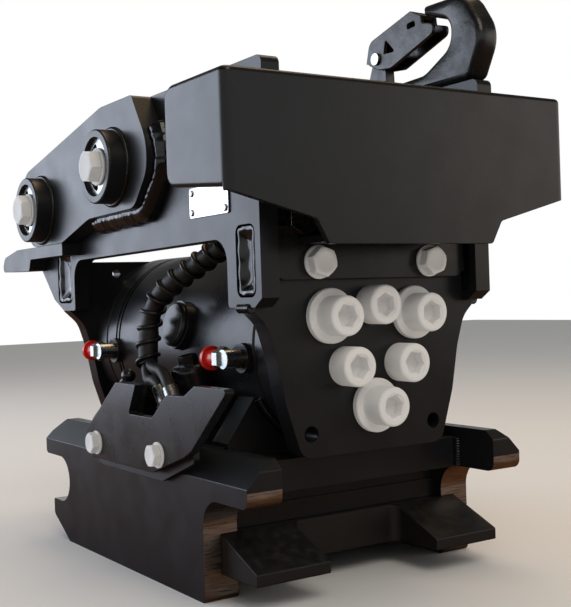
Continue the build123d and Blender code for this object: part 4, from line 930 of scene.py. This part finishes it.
@dataclass
class ArmPins:
    """Arm pins with their sleeves, pressure washers and screws."""

    places: tuple[tuple[float, float], ...] = ((-226.0, 184.5), (-432.0, 158.0))

    def build(self, bench: Bench) -> None:
        """Dress the pins and seat their screws."""
        bench.dress(GROUND, "stick_pin", "link_pin")
        bench.dress(ZINC, "pin_sleeves", "pin_washers")
        shapes = Screws()
        heads, rings = [], []
        for x, z in self.places:
            for side in Side:
                way = Vector((0, side.value, 0))
                turn = 17.0 if side is Side.RIGHT else 40.0
                heads.append((Bench.at(x, side.value * 171.0, z), way, turn + x / 9))
                rings.append((Bench.at(x, side.value * 168.05, z), way, 0.0))
        screw = Scatter("pin screw heads", shapes.hexagon("pin screw", 30.0, 12.5), ZINC).lay(heads)
        ring = Scatter("pin screw washers", shapes.washer("pin screw washer", 38.0, 3.0), ZINC).lay(rings)
        bench.keep("pin_screw_set", join("pin_screw_set", [screw, ring]), ZINC, Body.UPPER, "pin_screws")


@dataclass
class Actuator:
    """Housing, shaft flanges, flange screws, ports, caps and the relief valve."""

    outer: float = 56.0
    inner: float = 36.6

    def build(self, bench: Bench) -> None:
        """Dress the actuator and seat its screws and fittings."""
        bench.dress(SATIN, "actuator_housing", "actuator_shaft", "rear_shaft_flange")
        bench.dress(SHEET, "access_plug")
        bench.dress(BRONZE, "front_bearing", "rear_bearing")
        bench.dress(TURNED, "ring_gear", "piston_sleeve")
        self.flange_screws(bench, 0.0, 1, "front_shaft_screws", "front_shaft_washers")
        self.flange_screws(bench, -430.0, -1, "rear_shaft_screws", "rear_shaft_washers")
        bench.dress(ZINC, "port_fittings")
        bench.dress(RED, "port_caps")
        bench.dress(FORGED, "relief_valve")

    def circle(self, radius: float, start: float) -> list[tuple[float, float]]:
        """Return Y and Z of three places on a circle."""
        turns = [math.radians(start + 120 * i) for i in range(3)]
        return [(radius * math.cos(a), radius * math.sin(a)) for a in turns]

    def flange_screws(self, bench: Bench, seat: float, way: int, screws: str, washers: str) -> None:
        """Seat six socket screws and three thick washers on one end plate."""
        shapes = Screws()
        face = Vector((way, 0, 0))
        low = [(Bench.at(seat, y, z), face, 9.0 * i + 4) for i, (y, z) in enumerate(self.circle(self.inner, 90))]
        high = [(Bench.at(seat + way * 7.0, y, z), face, 23.0 * i) for i, (y, z) in enumerate(self.circle(self.outer, 30))]
        rings = [(Bench.at(seat, y, z), face, 0.0) for y, z in self.circle(self.outer, 30)]
        heads = Scatter(screws, shapes.socket("flange screw", 24.0, 36.0), ZINC).lay(low + high)
        under = Scatter(washers, shapes.washer("flange washer", 50.0, 7.0), ZINC).lay(rings)
        bench.keep(screws + "_set", join(screws + "_set", [heads, under]), ZINC, Body.UPPER, screws, washers)


@dataclass
class ToolFrame:
    """Side blocks, cross members and their welds."""

    def build(self, bench: Bench) -> None:
        """Dress the lower frame and lay its welds."""
        bench.dress(BLOCKS, "side_block_left", "side_block_right")
        bench.dress(SATIN, "front_beam", "saddles", "wedge_guide", "wedge_cover", "rear_cross_plate", "lock_cylinder")
        bench.dress(TURNED, "cylinder_gland")
        self.welds(bench)

    def welds(self, bench: Bench) -> None:
        """Lay the runs between saddles, housing, beam and blocks."""
        bead = Bead(radius=5.0)
        runs = []
        for x in (-61.0, -91.0, -308.0, -338.0):
            arc = [(x, -99.5 * math.cos(a), -99.5 * math.sin(a)) for a in [math.radians(28 + 124 * i / 30) for i in range(31)]]
            runs.append(bead.run("saddle run", mirrored(arc, Side.RIGHT), GLOSSY))
        for side in Side:
            runs.append(bead.run("beam run", mirrored([(-23, -121.5, -101), (-23, -121.5, -128)], side), GLOSSY))
            runs.append(bead.run("saddle foot run", mirrored([(-61, -121.5, -90), (-61, -121.5, -128)], side), GLOSSY))
        bench.keep("tool_frame_weld_runs", join("tool_frame_weld_runs", runs), GLOSSY, Body.TOOL)


@dataclass
class WedgeLock:
    """Sliding wedge and its rod."""

    def build(self, bench: Bench) -> None:
        """Dress the wedge and its rod."""
        bench.dress(WEDGE, "wedge")
        bench.dress(CHROME, "wedge_rod")


@dataclass
class HoseGuard:
    """Guard plate, the black sheet behind it, bosses, rail and screws on the right block."""

    places: tuple[tuple[float, float], ...] = ((-244.0, -97.0), (-103.0, -95.0))

    def build(self, bench: Bench) -> None:
        """Dress the guard and seat its screws."""
        bench.dress(SHEET, "guard_plate")
        # The black sheet behind the guard shows only to the left of and below the plate, as a dark band along those
        # edges.
        bench.dress(GUARD_BACKING, "guard_seal")
        bench.dress(SATIN, "guard_bosses")
        bench.dress(FORGED, "hose_rail")
        shapes = Screws()
        way = Vector((0, -1, 0))
        heads = [(Bench.at(x, -173.9, z), way, 20.0 + x / 7) for x, z in self.places]
        rings = [(Bench.at(x, -171.4, z), way, 0.0) for x, z in self.places]
        screw = Scatter("guard screw heads", shapes.hexagon("guard screw", 19.0, 7.5), ZINC).lay(heads)
        ring = Scatter("guard washers", shapes.washer("guard washer", 24.0, 2.5), ZINC).lay(rings)
        bench.keep("guard_screw_set", join("guard_screw_set", [screw, ring]), ZINC, Body.TOOL, "guard_screws")


@dataclass
class Hoses:
    """Lock hoses: a wrapped bundle from the upper frame that parts into two hoses at the block."""

    bundle: tuple[Point, ...] = (
        (-20, -82, 116), (-52, -82, 116), (-96, -89, 104), (-140, -100, 83), (-178, -118, 62),
        (-202, -125, 40), (-209, -128, 4), (-203, -131, -18),
    )
    radius: float = 11.0

    def build(self, bench: Bench) -> None:
        """Make the bundle, its wrap and the two branches as fixed meshes from the upper frame to the block."""
        bench.dress(ZINC, "hose_ferrules")
        core = self.tube("bundle core", self.bundle, self.radius - 1.2, RUBBER)
        wrap = self.wrap()
        branches = [
            self.tube("branch", ((-206, -129.5, -8), (-206, -132, -22), (-190, -138, -34), (-168, -141, -31), (-155.3, -142, -37.7)), 5.5, RUBBER),
            self.tube("branch", ((-200, -129.5, -8), (-199, -131, -18), (-180, -134, -22), (-150, -140, -22), (-135.3, -142, -37.7)), 5.5, RUBBER),
        ]
        for name, data, finish, owner in (
            ("hose_cores", join("hose_cores", [core, *branches]), RUBBER, ("hose_bundle",)),
            ("hose_spiral_wrap", wrap, WRAP, ()),
        ):
            piece = bpy.data.objects.new(name, data)
            bpy.context.scene.collection.objects.link(piece)
            if owner:
                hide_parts(*owner)
            Bench.at(-70, -84, 112)
            Bench.at(-203, -130, -10)
            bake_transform(piece)
            LOG.info("made %s, %d faces", name, len(data.polygons))

    def tube(self, name: str, points: Sequence[Point], radius: float, finish: Finish) -> bpy.types.Mesh:
        """Return a smooth hose along control points."""
        return Bead(radius=radius, pitch=8.0, depth=0.0).run(name, [Bench.at(*p) for p in points], finish, 3)

    def wrap(self) -> bpy.types.Mesh:
        """Wind a flat spiral strip along the bundle."""
        sizes = {"Radius": self.radius * MM, "Pitch": 17.0 * MM, "Width": 11.0 * MM}
        form = GeometryTree("spiral wrap", sizes)
        tree = form.tree
        path = add(tree, "GeometryNodeResampleCurve", {"Curve": form.source[0], "Length": 0.0007}, mode="LENGTH").outputs[0]
        along = add(tree, "GeometryNodeSplineParameter").outputs["Length"]
        turn = add(tree, "ShaderNodeMath", {0: along, 1: form.source["Pitch"]}, operation="DIVIDE").outputs[0]
        turn = add(tree, "ShaderNodeMath", {0: turn, 1: math.tau}, operation="MULTIPLY").outputs[0]
        tangent = add(tree, "GeometryNodeInputTangent").outputs[0]
        normal = add(tree, "GeometryNodeInputNormal").outputs[0]
        out = add(tree, "ShaderNodeVectorRotate", {"Vector": normal, "Axis": tangent, "Angle": turn}, rotation_type="AXIS_ANGLE").outputs[0]
        reach = add(tree, "ShaderNodeVectorMath", {0: out, "Scale": form.source["Radius"]}, operation="SCALE").outputs[0]
        coil = add(tree, "GeometryNodeSetPosition", {"Geometry": path, "Offset": reach}).outputs[0]
        ring = add(tree, "GeometryNodeCurvePrimitiveCircle", {"Resolution": 10, "Radius": form.source["Width"]}).outputs[0]
        small = add(tree, "GeometryNodeCurveToMesh", {"Curve": coil, "Profile Curve": ring, "Scale": 0.2, "Fill Caps": True}).outputs[0]
        smooth = add(tree, "GeometryNodeSetShadeSmooth", {0: small}).outputs[0]
        form.finish(smooth, WRAP.make())
        inner = [Bench.at(*p) for p in self.bundle[1:]]
        return form.apply(path_object("wrap path", inner, 3), "hose_spiral_wrap")


@dataclass
class LiftingHook:
    """Forged weld-on hook with a stamped, sprung latch, on the left side plate."""

    middle: float = 122.0
    half: float = 13.0
    pivot: tuple[float, float] = (-120.0, 298.0)
    body: tuple[Corner, ...] = (
        (-150.0, 250.0, 2.0), (24.0, 250.0, 10.0), (46.0, 292.0, 34.0), (18.0, 335.0, 26.0),
        (-42.0, 336.0, 5.0), (-41.0, 326.0, 4.0), (-3.0, 313.0, 14.0), (-3.0, 288.0, 24.0),
        (-44.0, 267.0, 30.0), (-106.0, 265.0, 8.0), (-112.0, 274.0, 2.0), (-150.0, 274.0, 6.0),
    )
    lug: tuple[Corner, ...] = ((-144.0, 270.0, 2.0), (-110.0, 270.0, 2.0), (-112.0, 306.0, 7.0), (-129.0, 306.0, 7.0))
    cheek: tuple[Corner, ...] = (
        (-138.0, 296.0, 8.0), (-118.0, 286.0, 8.0), (-96.0, 284.0, 10.0), (-28.0, 306.0, 6.0),
        (-28.0, 315.0, 4.0), (-45.0, 320.0, 1.0), (-46.0, 328.0, 3.0), (-62.0, 336.0, 5.0), (-132.0, 318.0, 12.0),
    )
    window: tuple[Corner, ...] = ((-108.0, 301.0, 1.5), (-88.0, 300.0, 1.5), (-104.0, 316.0, 1.5))
    slot: tuple[Corner, ...] = ((-68.0, 318.0, 2.0), (-54.0, 319.0, 2.0), (-56.0, 325.0, 2.0), (-68.0, 324.0, 2.0))

    def build(self, bench: Bench) -> None:
        """Forge the hook, stamp the latch and set its rivet."""
        bench.dress(ZINC, "latch_pin")
        y, h = self.middle, self.half
        steps = [(h, 6.0), (h - 0.9, 3.4), (h - 2.6, 1.5), (h - 5.0, 0.4), (h - 8.0, 0.0)]
        levels = [(y - a, b) for a, b in steps] + [(y + a, b) for a, b in reversed(steps)]
        hook = slab("hook body", filleted(self.body, True, 8.0), levels)
        lug = slab("latch lug", filleted(self.lug, True), [(y - 6.0, 0.8), (y - 5.2, 0.0), (y + 5.2, 0.0), (y + 6.0, 0.8)])
        bench.keep("forged_hook", join("forged_hook", [hook, lug]), FORGED, Body.UPPER, "lifting_hook")
        bench.keep("stamped_latch", self.latch(), FORGED, Body.LATCH, "hook_latch")

    def latch(self) -> bpy.types.Mesh:
        """Return the latch: two cheeks with openings, joined by a bent back."""
        y, outer, sheet = self.middle, self.half - 2.0, 3.5
        rim = filleted(self.cheek, True)
        holes = [filleted(self.window, True), filleted(self.slot, True)]
        cheeks = []
        for side in Side:
            a, b = y + side.value * outer, y + side.value * (outer - sheet)
            cheeks.append(slab("latch cheek", rim, [(a, 0.7), (a - side.value * 0.7, 0.0), (b, 0.0)], holes))
        back = filleted(((-46.0, 328.0, 0.0), (-62.0, 336.0, 5.0), (-132.0, 318.0, 12.0), (-138.0, 296.0, 0.0)))
        strip = list(back) + list(reversed(beside(back, 4.0)))
        span = outer - 0.4
        cheeks.append(slab("latch back", strip, [(y - span, 0.0), (y + span, 0.0)]))
        return join("stamped_latch", cheeks)


@dataclass
class Studio:
    """Pale floor, soft lamps and the photograph's camera."""

    azimuth: float = 56.89
    elevation: float = 0.42
    roll: float = -1.89
    focal: float = 1060.28
    eye: Point = (778.3, -601.7, 47.4)

    def build(self) -> None:
        """Make the camera, the world, the lamps and the floor."""
        self.camera()
        self.world()
        self.floor()
        self.lamp("window light", (-1900, -1650, 420), (-150, -100, 60), (2300, 1300), 3.4, "dfeaff")
        self.lamp("key light", (1500, -300, 1700), (-150, 0, 0), (1300, 1300), 3.0, "fff4e6")
        self.lamp("top light", (-500, 500, 2200), (-200, 0, 100), (1600, 1600), 2.4, "ffdfb8")
        self.lamp("fill light", (1000, 1700, 500), (-100, 0, 0), (1400, 1000), 0.8, "ffe9d2")
        bpy.context.scene.view_settings.view_transform = "Standard"

    def camera(self) -> None:
        """Place the camera where the photograph was taken."""
        a, e, r = (math.radians(v) for v in (self.azimuth, self.elevation, self.roll))
        forward = Vector((-math.sin(a) * math.cos(e), math.cos(a) * math.cos(e), -math.sin(e)))
        right = forward.cross(Vector((0, 0, 1))).normalized()
        up = right.cross(forward)
        turned_right = math.cos(r) * right + math.sin(r) * up
        turned_up = -math.sin(r) * right + math.cos(r) * up
        data = bpy.data.cameras.new("camera")
        data.sensor_fit = "HORIZONTAL"
        data.sensor_width = 36.0
        data.lens = self.focal / 571 * 36.0
        data.clip_start, data.clip_end = 0.01, 50.0
        camera = bpy.data.objects.new("camera", data)
        camera.matrix_world = Matrix.Translation(Bench.at(*self.eye)) @ Matrix((turned_right, turned_up, -forward)).transposed().to_4x4()
        bpy.context.scene.collection.objects.link(camera)
        bpy.context.scene.camera = camera

    def world(self) -> None:
        """Light the room evenly, show it white to the camera and as a dim room in reflections."""
        world = bpy.data.worlds.new("room")
        world.use_nodes = True
        tree = world.node_tree
        tree.nodes.clear()
        rays = add(tree, "ShaderNodeLightPath").outputs
        height = add(tree, "ShaderNodeSeparateXYZ", {0: add(tree, "ShaderNodeTexCoord").outputs["Generated"]}).outputs[2]
        ramp = add(tree, "ShaderNodeValToRGB", {0: add(tree, "ShaderNodeMapRange", {"Value": height, "From Min": -1.0}).outputs[0]})
        stops = ramp.color_ramp.elements
        stops[0].position, stops[0].color = 0.0, linear("2b1c12")
        stops[1].position, stops[1].color = 1.0, linear("8a7a66")
        for position, code in ((0.42, "4a2f1c"), (0.5, "c8c6c2"), (0.6, "dfe3e6"), (0.7, "5d5f62"), (0.85, "3c3a38")):
            stop = stops.new(position)
            stop.color = linear(code)
        seen = add(tree, "ShaderNodeMath", {0: rays["Is Camera Ray"], 1: rays["Is Transmission Ray"]}, operation="MAXIMUM").outputs[0]
        dim = add(tree, "ShaderNodeMix", {0: rays["Is Glossy Ray"], 6: linear("a0a0a0"), 7: ramp.outputs[0]}, data_type="RGBA").outputs[2]
        colour = add(tree, "ShaderNodeMix", {0: seen, 6: dim, 7: (1, 1, 1, 1)}, data_type="RGBA").outputs[2]
        air = add(tree, "ShaderNodeBackground", {"Color": colour, "Strength": 1.0}).outputs[0]
        add(tree, "ShaderNodeOutputWorld", {"Surface": air})
        bpy.context.scene.world = world

    def floor(self) -> None:
        """Lay a pale floor under the coupler."""
        size = 6.0
        data = bpy.data.meshes.new("floor")
        data.from_pydata([(-size, -size, 0), (size, -size, 0), (size, size, 0), (-size, size, 0)], [], [(0, 1, 2, 3)])
        material = bpy.data.materials.new("pale floor")
        material.use_nodes = True
        shader = material.node_tree.nodes["Principled BSDF"]
        mirrored_ray = add(material.node_tree, "ShaderNodeLightPath").outputs["Is Glossy Ray"]
        tone = {0: mirrored_ray, 6: linear("e9e9e8"), 7: linear("6b4a30")}
        tone = add(material.node_tree, "ShaderNodeMix", tone, data_type="RGBA").outputs[2]
        material.node_tree.links.new(tone, shader.inputs["Base Color"])
        shader.inputs["Roughness"].default_value = 0.8
        shader.inputs["Specular IOR Level"].default_value = 0.1
        data.materials.append(material)
        floor = bpy.data.objects.new("floor", data)
        bpy.context.scene.collection.objects.link(floor)
        floor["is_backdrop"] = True

    def lamp(self, name: str, place: Point, target: Point, size: tuple[float, float], radiance: float, colour: str) -> None:
        """Hang a rectangular soft lamp.

        Args:
            name: Lamp name.
            place: Where it hangs, in the tilt frame.
            target: What it points at.
            size: Width and height in millimetres.
            radiance: Brightness of its face, where 1 is white.
            colour: sRGB hex code.
        """
        data = bpy.data.lights.new(name, "AREA")
        data.shape = "RECTANGLE"
        data.size, data.size_y = size[0] * MM, size[1] * MM
        data.energy = radiance * math.pi * data.size * data.size_y
        data.color = linear(colour)[:3]
        lamp = bpy.data.objects.new(name, data)
        lamp.location = Bench.at(*place)
        way = Bench.at(*target) - lamp.location
        lamp.rotation_mode = "QUATERNION"
        lamp.rotation_quaternion = way.to_track_quat("-Z", "Y")
        bpy.context.scene.collection.objects.link(lamp)


def main() -> None:
    """Build every sub-assembly in order."""
    logging.basicConfig(level=logging.INFO, format="%(name)s: %(message)s")
    bench = Bench()
    for part in (UpperFrame(), FrontGuard(), ArmPins(), Actuator(), ToolFrame(), WedgeLock(), HoseGuard(), Hoses(), LiftingHook()):
        LOG.info("building %s", type(part).__name__)
        part.build(bench)
    Studio().build()


if __name__ == "__main__":
    main()
